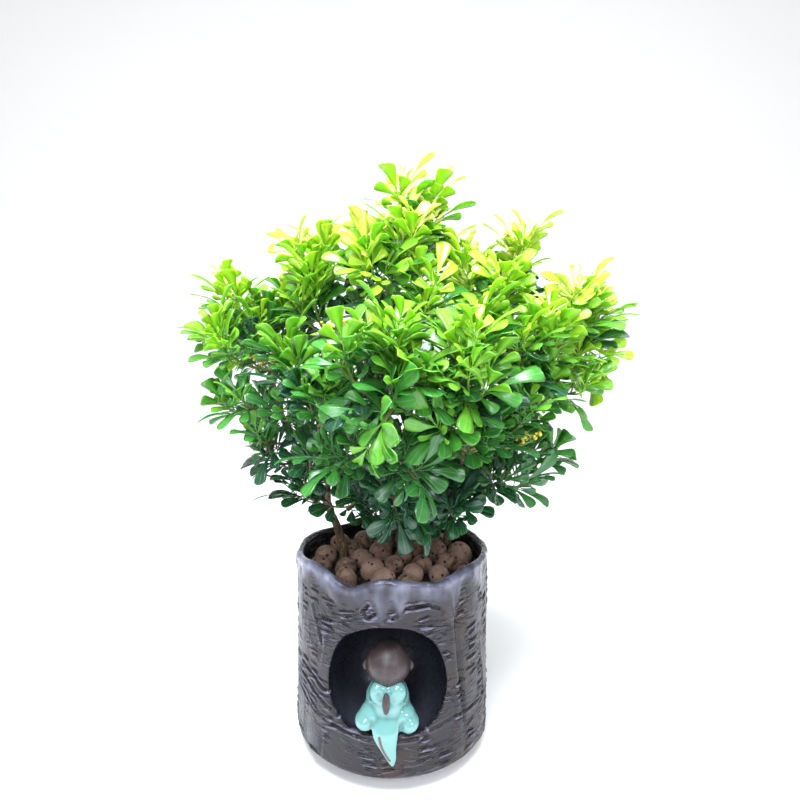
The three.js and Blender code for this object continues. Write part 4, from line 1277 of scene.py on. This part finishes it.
def robe_form():
    """The robe's overlapping forms: body, knees, thighs, sleeves, lap and the front's long tail"""
    shape = Shape()
    across = np.array([1.0, 0, 0])
    height, left, right, front, back = np.array(ROBE_SECTIONS).T
    middles = np.stack([(left + right) / 2, (front + back) / 2, height], axis=-1)
    rings = ovals(middles, (right - left) / 2, (back - front) / 2, across,
                  [[0, 1.0, 0]] * len(middles))
    shape.add(*loft(rings, rings[0].mean(axis=0), rings[-1].mean(axis=0)))
    for knee, thigh, sleeve in [((-20, -79.5, 46), (-13.5, -77, 51), (-10, -79, 68.5)),
                                ((13.6, -79.5, 44), (8, -77, 49.5), (5, -79, 68.5))]:
        shape.add(*ellipsoid(knee, (9, 10, 7.6)))
        shape.add(*ellipsoid(thigh, (11.5, 10.5, 8.5)))
        shape.add(*ellipsoid(sleeve, (7.6, 7.4, 8.4)))
    shape.add(*ellipsoid((-3, -80, 55), (12.5, 8, 12)))
    tail = through(ROBE_TAIL, 8)
    widths = np.interp(tail[:, 2], [16, 22, 31, 38, 43, 50, 58], [1.8, 4.6, 7.4, 10, 11, 9.5, 7])
    depths = np.interp(tail[:, 2], [16, 40, 58], [2.5, 3.2, 5])
    forward = unit(np.gradient(tail, axis=0))
    rings = ovals(tail, widths, depths, across, unit(np.cross(forward, across)))
    shape.add(*loft(rings, tail[0], tail[-1] + forward[-1] * 1.5))
    return shape


def build_robe():
    """A kneeling robe in one flowing form, with dished sleeve mouths and creases over the knees"""
    middle = HEAD_CENTRE[0]
    piece = fused("glazed_robe", robe_form(), ROBE_GRAIN, 100)
    points = point_array(piece.data)
    for side, depth in ((-1, 1.7), (1, 0.9)):
        away = np.hypot((points[:, 0] - middle - side * 7.2) / 5.4, (points[:, 2] - 69.8) / 6.2)
        front = smooth(-77, -82, points[:, 1])
        points[:, 1] += front * depth * (bell(away, 0.7) - 0.3 * bell(away - 1.1, 0.3))
        crease = (side * (points[:, 0] - middle + 0.7)
                  - np.interp(points[:, 2], [40, 58], [11.4, 13.6]))
        front = smooth(-75, -82, points[:, 1])
        points[:, 1] += 0.9 * bell(crease, 2.6) * bell(points[:, 2] - 45, 5) * front
    move_points(piece, points)
    near = np.full(len(points), 1e3)
    for spot in through([(middle + aside, height) for aside, height in IRON_LINE], 6):
        near = np.minimum(near, np.linalg.norm(points[:, [0, 2]] - spot, axis=-1))
    store(piece.data, "iron", smooth(1.35, 0.95, near) * (points[:, 1] < -86))
    store(piece.data, "pool", np.clip(hollows(piece.data) / 0.05, -1, 1))
    return piece


# Wood

def build_stem(stem):
    """A stem and its forks, with swollen joints and a finely rippled bark"""
    shape = Shape()
    joints, radius = stem["joints"], stem["radius"]
    branches = [(joints, radius)]
    for start, more in stem["forks"]:
        girth = lerp(*radius, start / (len(joints) - 1)) * 0.85
        branches.append(([joints[start], *more], (girth, radius[1] * 0.8)))
    for number, (points, girths) in enumerate(branches):
        path = through(points, 20)
        share = np.linspace(0, 1, len(path))
        nodes = sum(bell(share * (len(points) - 1) - joint, 0.09)
                    for joint in range(1, len(points)))
        draw = np.random.default_rng(number + len(points))
        wander = draw.normal(size=(len(path), 3)) * 0.25
        for _ in range(3):
            wander[1:-1] = (wander[:-2] + wander[1:-1] + wander[2:]) / 3
        phase = draw.uniform(0, 6, 3)
        swell = lambda step, turn, nodes=nodes, phase=phase: (
            1 + 0.22 * nodes[step] + 0.05 * np.sin(3 * turn + phase[0] + step / 7)
            + 0.035 * np.sin(5 * turn + phase[1] - step / 4) + 0.03 * np.sin(step * 1.9 + phase[2]))
        shape.add(*tube(path + wander, lerp(*girths, share), 18, swell))
    return shape


def joint_for(tip):
    """The joint that a shoot grows from: the nearest, and rather below its tip than above it"""
    joints = [Vector(joint) for stem in STEMS.values()
              for joint in sum((more for _, more in stem["forks"]), stem["joints"])
              if joint[2] > LOWEST_TWIG_JOINT]
    return min(joints, key=lambda joint: (joint - tip).length + max(0, joint.z - tip.z + 5))


class Shoot:
    """A twig's line: it leaves sideways and then turns up to its tip"""

    def __init__(self, root, tip):
        self.root, self.tip = Vector(root), Vector(tip)
        sag = 0.08 * math.hypot(tip[0] - root[0], tip[1] - root[1])
        self.bend = Vector((lerp(root[0], tip[0], 0.78), lerp(root[1], tip[1], 0.78),
                            lerp(root[2], tip[2], 0.35) - sag))

    def points(self, count):
        """That many points along the shoot, evenly spread"""
        return [self.point(share) for share in np.linspace(0, 1, count)]

    def point(self, share):
        rest = 1 - share
        return self.root * rest * rest + self.bend * 2 * rest * share + self.tip * share * share

    def way(self, share):
        """The direction in which the shoot grows there"""
        return ((self.bend - self.root) * (1 - share) + (self.tip - self.bend) * share).normalized()

    def share_below(self, distance):
        """How far along the shoot a point lies that is the given distance below its tip"""
        return 1 - distance / (2 * (self.tip - self.bend).length)


# Leaves

def leaf_frame(point, axis, turn, pitch):
    """A leaf's place on a twig as a matrix: along it, across it and out of its upper face"""
    reference = Vector((0, 1, 0)) if abs(axis.x) > 0.8 else Vector((1, 0, 0))
    first = (reference - axis * reference.dot(axis)).normalized()
    second = axis.cross(first)
    turn, pitch = math.radians(turn), math.radians(pitch)
    outward = first * math.cos(turn) + second * math.sin(turn)
    along = (axis * math.cos(pitch) + outward * math.sin(pitch) + Vector((0, 0, 0.55))).normalized()
    face = axis * math.sin(pitch) - outward * math.cos(pitch) + Vector((0, 0, 0.6))
    face = (face - along * face.dot(along)).normalized()
    side = face.cross(along)
    place = Matrix((along, side, face)).transposed().to_4x4()
    place.translation = point
    return place


def leaf_end(place, size):
    """The solid leaf's farthest corner"""
    _, start, length = LEAFLETS[3][1]
    reach = start + length
    corner = Vector((reach, 0, -LEAF_DROOP * reach * reach)) * size
    normal = Vector((2 * LEAF_DROOP * reach, 0, 1)).normalized()
    return place @ (corner + normal * LEAF_THICKNESS / 2)


def solid_leaves(tip):
    """The places of the leaves that the solid shoot may hold"""
    return SOLID_LEAVES if tip[2] > FULL_SHOOT_HEIGHT else SOLID_LEAVES[:2]


def solid_leaf(tree, shoot, number, below, lean):
    """Where the solid spray holds a leaf of that number and place, or nothing where it has none"""
    share, size = shoot.share_below(below), 0.88 + 0.24 * vary(number)
    for pitch, turn in LEAF_TRIES:
        place = leaf_frame(shoot.point(share), shoot.way(share),
                           number * GOLDEN_TURN + turn, lean + pitch)
        if tree.find(leaf_end(place, size) * MM)[2] < 0.8 * MM:
            return place, size
    return None


def leaflet_rings(angle, start, length, cup, sway):
    """Sections of one spoon-shaped leaflet: a ring at each station, and its two ends"""
    stations, widths = np.array(LEAFLET_SECTIONS).T
    widths = widths * length * LEAFLET_HALF_WIDTH
    ahead = np.array([math.cos(math.radians(angle)), math.sin(math.radians(angle))])
    aside = np.array([-ahead[1], ahead[0]])

    def lay(along, across, lift):
        flat = np.array([start, 0]) + ahead * along * length + aside * across
        recurve = 0.45 * length * max(0, along - 0.5) ** 2
        fall = -(LEAF_DROOP * flat[0] ** 2 + LEAF_CUP * flat[1] ** 2 + recurve)
        return np.array([flat[0], flat[1], fall + lift])

    rings = []
    for along, width in zip(stations, widths):
        wave = 0.5 * math.sin(9 * along + sway) * min(1, width / 3)
        edge = cup * width
        crown = 0.62 * cup * width + 0.28 * min(1, width / 3)
        rings.append([
            lay(along, width, edge + wave), lay(along, width * 0.52, crown), lay(along, 0, -0.1),
            lay(along, -width * 0.52, crown), lay(along, -width, edge - wave), lay(along, 0, -0.5)])
    return rings, lay(0, 0, 0), lay(1.0, 0, 0.1), np.array([0, *stations, 1])


def leaf_body(name, leaflets, cup, seed):
    """A compound leaf of size 1: a stalk and its leaflets, with the leaf's own map"""
    draw = random.Random(seed)
    shape, uses = Shape(), []
    stalk_end = max(start for _, start, _ in LEAFLETS[leaflets])
    stalk = [(u, 0, -LEAF_DROOP * u * u - 0.2) for u in np.linspace(0, stalk_end, 5)]
    points, faces = tube(stalk, np.linspace(0.5, 0.55, 5), 4)
    shape.add(points, faces)
    uses += [[(0.5, 0.5)] * len(face) for face in faces]
    for angle, start, length in LEAFLETS[leaflets]:
        rings, root, tip, stations = leaflet_rings(
            angle + draw.uniform(-5, 5), start, length * draw.uniform(0.94, 1.04), cup,
            draw.uniform(0, 6))
        points, faces = loft(rings, root, tip)
        shape.add(points, faces)
        across = [0.5] + [1, 0.76, 0.5, 0.24, 0, 0.5] * (len(stations) - 2) + [0.5]
        along = [0] + [s for s in stations[1:-1] for _ in range(6)] + [1]
        # The map of the two lower faces is set aside, so their veins miss those above
        for side, face in zip(list(range(6)) * (len(stations) - 1), faces):
            uses.append([(along[c] + (2 if side > 3 else 0), across[c]) for c in face])
    mesh = shape.mesh(name)
    layer = mesh.uv_layers.new(name="leaf")
    layer.uv.foreach_set("vector", np.array([pair for face in uses for pair in face]).ravel())
    return bpy.data.objects.new(name, mesh)


def leaf_kinds():
    """The leaf bodies that the twigs carry"""
    return [leaf_body(f"leaf_kind_{number}", leaflets, cup, number + 1)
            for number, (leaflets, cup) in enumerate(LEAF_KINDS)]


def ripeness_and_light(point, order):
    """0 for a new leaf at the crown's top, 1 for an old one low down, with painted shade far in and
    low down and painted light on the flanks
    """
    # Darker lower down, partly as age and partly as painted shade under the overhead light
    height = max(0, (430 - point.z) / 250) ** 1.3
    inward = 1 - min(1, math.hypot(point.x / 190, point.y / 160))
    # Painted shade far inside the crown
    shaded = 0.2 * inward * min(1, max(0, (450 - point.z) / 100))
    # Painted light on the crown's flanks, more on the right
    lit = 0.1 * min(1, max(0, point.x / 140, -point.x / 220))
    return min(1, max(0, 0.82 * height + 0.07 * order + shaded - lit))


def side_shoots(shoot, number, count):
    """Short leafy spurs along a twig"""
    spurs = []
    for spur in range(count):
        share = 0.86 - 0.6 * (spur + vary(number + spur)) / count
        root, turn = shoot.point(share), (number * 3 + spur) * GOLDEN_TURN
        out = Vector(leaf_frame(root, shoot.way(share), turn, 48).col[0][:3])
        reach = 14 + 14 * vary(number * 5 + spur)
        spurs.append(Shoot(root, root + out * reach + Vector((0, 0, 6))))
    return spurs


def leave_twig(layout, shoot, number, orders, scale, taken=()):
    """Leaves along a twig from its tip down, at the given orders, but for the places taken"""
    for step, order in enumerate(orders):
        if any(abs(order - used) < 0.25 for used in taken):
            continue
        share = shoot.share_below(0.5 + order * LEAF_SPACING)
        if share < 0.1:
            break
        seed = number * 11 + step
        pitch = np.interp(order, [-0.4, 0, 1, 2, 5], [6, 14, 30, 42, 60])
        pitch += 16 * (vary(seed * 3) - 0.5)
        place = leaf_frame(shoot.point(share), shoot.way(share),
                           (number + step) * GOLDEN_TURN + 40, pitch)
        if hides_flowers(place @ Vector((25 * scale, 0, 0))):
            continue
        size = scale * np.interp(order, [-0.4, 0.5, 6], [0.62, 0.95, 1.05])
        put_leaf(layout, place, size * (0.85 + 0.3 * vary(seed)), order, seed)


def hides_flowers(point):
    """Whether a leaf there would cover a flower spray seen from the front"""
    return any(math.hypot(point.x - x, point.z - z + 4) < LEAST_VIEW and point.y < y
               for x, y, z in PANICLES)


def put_leaf(layout, place, size, order, seed):
    """Adds a leaf whose kind, age and tone suit its place on the twig and in the crown, its age
    value also holding painted light and shade
    """
    age = ripeness_and_light(place.translation, order) + 0.12 * (vary(seed * 2) - 0.5)
    if order < YOUNG_ORDER:
        kind = YOUNG_KINDS[vary(seed * 4) >= 0.6]
    else:
        kind = GROWN_KINDS[int(4 * vary(seed * 4))]
    layout.tip(place.translation, kind, place.to_euler(), size, age, vary(seed * 6))


def build_spray(tips, first_number, tree, settings):
    """The twigs and leaves of one spray"""
    layout = Layout()
    main = Shoot(joint_for(Vector(tips[0])), tips[0])
    shoots = [main] + [Shoot(main.point(0.45), tip) for tip in tips[1:]]
    number = first_number
    for shoot, tip in zip(shoots, tips):
        shares = np.linspace(0, 1, TWIG_STEPS)
        layout.rod(shoot.points(TWIG_STEPS), TWIG_RADIUS,
                   [ripeness_and_light(shoot.point(share), 3 * (1 - share)) for share in shares])
        taken = []
        for below, lean in solid_leaves(tip):
            held = solid_leaf(tree, shoot, number, below, lean)
            if held:
                place, size = held
                put_leaf(layout, place, size * settings.leaf_size, below / LEAF_SPACING, number)
                taken.append(below / LEAF_SPACING)
            number += 1
        low = tip[2] < LOW_SHOOT_HEIGHT
        sparse = low and abs(tip[0] - CROWN_MIDDLE) > OPEN_REACH
        leave_twig(layout, shoot, number, FEW_LEAVES if sparse else MANY_LEAVES,
                   settings.leaf_size * (0.9 if low else 1), taken)
        spurs = side_shoots(shoot, number, settings.spurs + low - 2 * sparse)
        for spur_number, spur in enumerate(spurs):
            layout.rod(spur.points(7), SPUR_RADIUS, ripeness_and_light(spur.tip, 1))
            leave_twig(layout, spur, number * 5 + spur_number, SPUR_LEAVES,
                       0.86 * settings.leaf_size)
        if tip in TWIN_TIPS:
            fork = Shoot(shoot.point(0.5), TWIN_TIPS[tip])
            layout.rod(fork.points(TWIG_STEPS), FORK_RADIUS, ripeness_and_light(fork.tip, 1))
            leave_twig(layout, fork, number + 5, MANY_LEAVES[:8], settings.leaf_size)
    return layout


def build_undergrowth(settings):
    """Short shoots on the lower and inner stems, thick with old leaves"""
    layout = Layout()
    for number, (root, tip) in enumerate(LOW_SHOOTS):
        shoot = Shoot(root, tip)
        layout.rod(shoot.points(8), FORK_RADIUS, 0.9)
        leave_twig(layout, shoot, 400 + number * 7, LOW_LEAVES, 0.85 * settings.leaf_size)
    return layout


def build_panicle(number, tip):
    """Yellow balls on thin branching stalks"""
    layout = Layout()
    stalk = Shoot(joint_for(Vector(tip)), tip)
    layout.rod(stalk.points(12), (1.0, 0.5), 0.35)
    layout.tip(stalk.tip, size=1.5)
    for branch in range(PANICLE_BRANCHES):
        outward = branch / (PANICLE_BRANCHES - 1)
        root = stalk.point(0.55 + 0.42 * outward)
        turn = math.radians((number + branch) * GOLDEN_TURN)
        reach = 13 * (1.15 - 0.6 * outward)
        end = root + Vector((math.cos(turn), math.sin(turn), 0.7)) * reach
        bow = (root + end) / 2 + Vector((0, 0, 1.5))
        along = lambda share: root.lerp(bow, share).lerp(bow.lerp(end, share), share)
        layout.rod([along(share) for share in np.linspace(0, 1, 7)], (0.4, 0.4), 0.3)
        for bead in range(BRANCH_BEADS):
            spot = along(0.3 + 0.7 * bead / (BRANCH_BEADS - 1))
            spin = math.radians((bead + branch * 2) * GOLDEN_TURN)
            away = Vector((math.cos(spin), math.sin(spin), 0.3)) * 2.2
            if bead == BRANCH_BEADS - 1:
                away = Vector()
            else:
                layout.rod([spot, spot + away], (0.3, 0.3), 0.3)
            layout.tip(spot + away, size=0.95 + 0.6 * vary(bead * 3 + branch))
    return layout


# Settings

def colour_of(name, description, code):
    return FloatVectorProperty(name=name, description=description, subtype="COLOR", size=4,
                               min=0, max=1, default=linear(code))


class PotSettings(bpy.types.PropertyGroup):
    body: colour_of("Stoneware", "Colour of the fired pot between its ridges and cuts", "#1b171a")
    groove: colour_of("Cuts", "Colour of the wash that stays in the carved cuts", "#1d191c")
    ball: colour_of("Clay balls", "Colour of the fired clay balls", "#8b6e5d")
    balls: IntProperty(name="Clay balls", description="Number of large clay balls on the soil",
                       default=BALL_COUNT, min=1, max=80)
    soil: colour_of("Soil", "Colour of the damp soil", "#231b17")


class FigureSettings(bpy.types.PropertyGroup):
    clay: colour_of("Bare clay", "Colour of the figure's head and hands", "#3b302f")
    glaze: colour_of("Glaze", "Colour of the robe's glaze", "#4b7f7b")
    line: colour_of("Brushed line", "Colour of the brushed line on the robe's tail", "#4a3d33")


class PlantSettings(bpy.types.PropertyGroup):
    leaf_size: FloatProperty(name="Leaf size", subtype="FACTOR", default=1.0, min=0.2, max=2,
                             description="Size of the leaves, 1 as on the real plant")
    spurs: IntProperty(name="Spurs", description="Short leafy side shoots on each twig",
                       default=2, min=0, max=8)
    young: colour_of("Young leaf", "Colour of the new leaves at the tips", "#86c428")
    grown: colour_of("Grown leaf", "Colour of the full-grown leaves", "#38832c")
    old: colour_of("Old leaf", "Colour of the oldest leaves, low and inside", "#1a4431")
    bark: colour_of("Bark", "Colour of the woody stems", "#5f4d35")
    twig: colour_of("Twig", "Colour of this year's twigs", "#5f8a35")
    flower: colour_of("Flower", "Colour of the flower balls", "#ead23c")


class StageSettings(bpy.types.PropertyGroup):
    eye: FloatVectorProperty(name="Camera place", description="Where the camera stands",
                             subtype="TRANSLATION", unit="LENGTH", size=3,
                             default=(0.007, -0.495, 0.339))
    pitch: FloatProperty(name="Camera pitch", description="How far the camera looks down",
                         subtype="ANGLE", default=math.radians(5.5))
    lens: FloatProperty(name="Lens", description="Focal length on a 36 mm sensor, in millimetres",
                        default=25.2, min=8, max=200)
    key: FloatProperty(name="Overhead light", default=44, min=0, max=500,
                       description="Power of the large overhead light in watts")


class PerfumeTreeSettings(bpy.types.PropertyGroup):
    pot: PointerProperty(type=PotSettings)
    figure: PointerProperty(type=FigureSettings)
    plant: PointerProperty(type=PlantSettings)
    stage: PointerProperty(type=StageSettings)


# Operators

class BuildPot(bpy.types.Operator):
    """Build the stump-shaped stoneware pot with its niche"""
    bl_idname = "perfume_tree.pot"
    bl_label = "Pot"

    def execute(self, context):
        settings = context.scene.perfume_tree.pot
        finish = satin_stoneware(settings.body, settings.groove)
        finish_piece(as_object("stump_pot", build_pot(), finish), "pot", "pot")
        return {"FINISHED"}


class BuildFilling(bpy.types.Operator):
    """Build the soil's surface and the clay balls on it"""
    bl_idname = "perfume_tree.filling"
    bl_label = "Soil and clay balls"

    def execute(self, context):
        settings = context.scene.perfume_tree.pot
        soil = damp_soil(settings.soil)
        finish_piece(as_object("soil_litter", build_litter(), soil), "soil")
        repaint("soil", soil)
        balls = collect("clay_balls", [clay_ball(f"ball_kind_{seed}", seed)
                                       for seed in range(BALL_KINDS)])
        layout = Layout()
        draw = random.Random(21)
        for number, (x, y, z, radius) in enumerate(ball_places(settings.balls)):
            layout.tip((x, y, z), number % BALL_KINDS, [draw.uniform(0, 6.28) for _ in range(3)],
                       radius, tone=draw.uniform(-0.12, 0.3))
        layer = grow("clay_ball_layer", layout, balls, fired_clay_ball(settings.ball))
        finish_piece(layer, "clay_balls", "pebbles")
        discard(balls)
        return {"FINISHED"}


class BuildFigure(bpy.types.Operator):
    """Build the small praying figure that kneels in the niche"""
    bl_idname = "perfume_tree.figure"
    bl_label = "Figure"

    def execute(self, context):
        settings = context.scene.perfume_tree.figure
        clay = bare_clay(settings.clay)
        head = build_head()
        head.data.materials.append(clay)
        finish_piece(head, "figure_bisque", "figure_head")
        hands = as_object("pressed_hands", build_hands(), clay)
        finish_piece(hands, "figure_bisque", "figure_hands")
        robe = build_robe()
        robe.data.materials.append(celadon_glaze(settings.glaze, settings.line))
        finish_piece(robe, "figure_glaze", "figure_robe")
        return {"FINISHED"}


class BuildStems(bpy.types.Operator):
    """Build the woody stems"""
    bl_idname = "perfume_tree.stems"
    bl_label = "Stems"

    def execute(self, context):
        bark = young_bark(context.scene.perfume_tree.plant.bark)
        for name, stem in STEMS.items():
            finish_piece(as_object(f"bark_{name}", build_stem(stem), bark), "bark", name)
        return {"FINISHED"}


class BuildSprays(bpy.types.Operator):
    """Build the leafy twigs, one piece for each spray"""
    bl_idname = "perfume_tree.sprays"
    bl_label = "Leafy sprays"

    def execute(self, context):
        settings = context.scene.perfume_tree.plant
        leaf = waxy_leaf(settings.young, settings.grown, settings.old)
        twig = green_twig(settings.twig)
        kinds = collect("leaf_kinds", leaf_kinds())
        number = 0
        for spray, tips in enumerate(SPRAYS):
            label = f"{spray + 1:02d}"
            tree = point_tree(frame["nodes"][f"spray_{label}"])
            layout = build_spray(tips, number, tree, settings)
            number += sum(len(solid_leaves(tip)) for tip in tips)
            piece = grow(f"leafy_spray_{label}", layout, kinds, leaf, twig, rod_sides=7)
            slot = "leaf_young" if tips[0][2] >= YOUNG_SPRAY_HEIGHT else "leaf_grown"
            finish_piece(piece, slot, f"spray_{label}")
        low = build_undergrowth(settings)
        finish_piece(grow("low_leafy_shoots", low, kinds, leaf, twig, rod_sides=7), "leaf_grown")
        discard(kinds)
        return {"FINISHED"}


class BuildFlowers(bpy.types.Operator):
    """Build the sprays of tiny yellow flower balls"""
    bl_idname = "perfume_tree.flowers"
    bl_label = "Flower sprays"

    def execute(self, context):
        settings = context.scene.perfume_tree.plant
        yellow, twig = flower_ball(settings.flower), green_twig(settings.twig)
        shape = Shape()
        shape.add(*ellipsoid((0, 0, 0), (1, 1, 1), 8, 6))
        beads = collect("flower_beads", [as_object("flower_bead", shape)])
        for number, tip in enumerate(PANICLES):
            label, layout = f"{number + 1:02d}", build_panicle(number, tip)
            piece = grow(f"flower_balls_{label}", layout, beads, yellow, twig, rod_sides=6)
            finish_piece(piece, "flower", f"flowers_{label}")
        discard(beads)
        return {"FINISHED"}


class BuildStage(bpy.types.Operator):
    """Build the white paper sweep, the lights and the camera"""
    bl_idname = "perfume_tree.stage"
    bl_label = "Stage"

    def execute(self, context):
        settings = context.scene.perfume_tree.stage
        curve = through([(0, *spot) for spot in SWEEP_PROFILE], 8)
        shape, count = Shape(), len(curve)
        sheet = np.concatenate([curve - [SWEEP_REACH, 0, 0], curve + [SWEEP_REACH, 0, 0]])
        shape.add(sheet, [(row, row + count, row + 1 + count, row + 1)
                          for row in range(count - 1)])
        sweep = as_object("paper_sweep", shape, white_paper())
        context.scene.collection.objects.link(sweep)
        light_up(settings)
        context.scene.view_settings.view_transform = "Standard"
        camera = bpy.data.cameras.new("camera")
        camera.lens, camera.sensor_width = settings.lens, SENSOR_WIDTH
        eye = bpy.data.objects.new("camera", camera)
        eye.location = settings.eye
        eye.rotation_euler = (math.radians(90) - settings.pitch, 0, 0)
        context.scene.collection.objects.link(eye)
        context.scene.camera = eye
        return {"FINISHED"}


def light_up(settings):
    """A large overhead light, a broad front fill, a small side light and an even surround"""
    for name, place, size, share in LAMPS:
        light = bpy.data.lights.new(name, "AREA")
        light.shape, light.size, light.energy = "DISK", size, settings.key * share
        light.color = linear("#eaf0ff")[:3]
        lamp = bpy.data.objects.new(name, light)
        lamp.location = place
        ahead = Vector(LAMP_TARGET) - Vector(place)
        lamp.rotation_euler = ahead.to_track_quat("-Z", "Y").to_euler()
        bpy.context.scene.collection.objects.link(lamp)
    world = bpy.data.worlds.new("white_surround")
    world.use_nodes = True
    feed(world.node_tree, world.node_tree.nodes["Background"],
         {"Color": linear("#ffffff"), "Strength": 0.58})
    bpy.context.scene.world = world


def repaint(node, material):
    """Gives a solid that stays in sight its own finish"""
    slots = frame["nodes"][node].data.materials
    slots.clear()
    slots.append(material)


def point_tree(node):
    """A search tree of a solid's corner points"""
    points = node.data.vertices
    tree = KDTree(len(points))
    for number, point in enumerate(points):
        tree.insert(point.co, number)
    tree.balance()
    return tree


BUILDERS = [
    BuildPot, BuildFilling, BuildFigure, BuildStems, BuildSprays, BuildFlowers, BuildStage,
]


class PerfumeTreePanel(bpy.types.Panel):
    """Settings and build buttons of the potted perfume tree"""
    bl_idname = "VIEW3D_PT_perfume_tree"
    bl_label = "Perfume tree"
    bl_space_type = "VIEW_3D"
    bl_region_type = "UI"
    bl_category = "Perfume tree"

    def draw(self, context):
        settings = context.scene.perfume_tree
        for group in (settings.pot, settings.figure, settings.plant, settings.stage):
            box = self.layout.box()
            for name in group.__annotations__:
                box.prop(group, name)
        for builder in BUILDERS:
            self.layout.operator(builder.bl_idname)


CLASSES = [
    PotSettings, FigureSettings, PlantSettings, StageSettings, PerfumeTreeSettings, *BUILDERS,
    PerfumeTreePanel,
]


def register():
    for item in CLASSES:
        bpy.utils.register_class(item)
    bpy.types.Scene.perfume_tree = PointerProperty(type=PerfumeTreeSettings)


def unregister():
    del bpy.types.Scene.perfume_tree
    for item in reversed(CLASSES):
        bpy.utils.unregister_class(item)


def main():
    register()
    scatter_tree()
    for step in ("stage", "pot", "filling", "figure", "stems", "sprays", "flowers"):
        getattr(bpy.ops.perfume_tree, step)()
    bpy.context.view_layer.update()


if __name__ == "__main__":
    main()
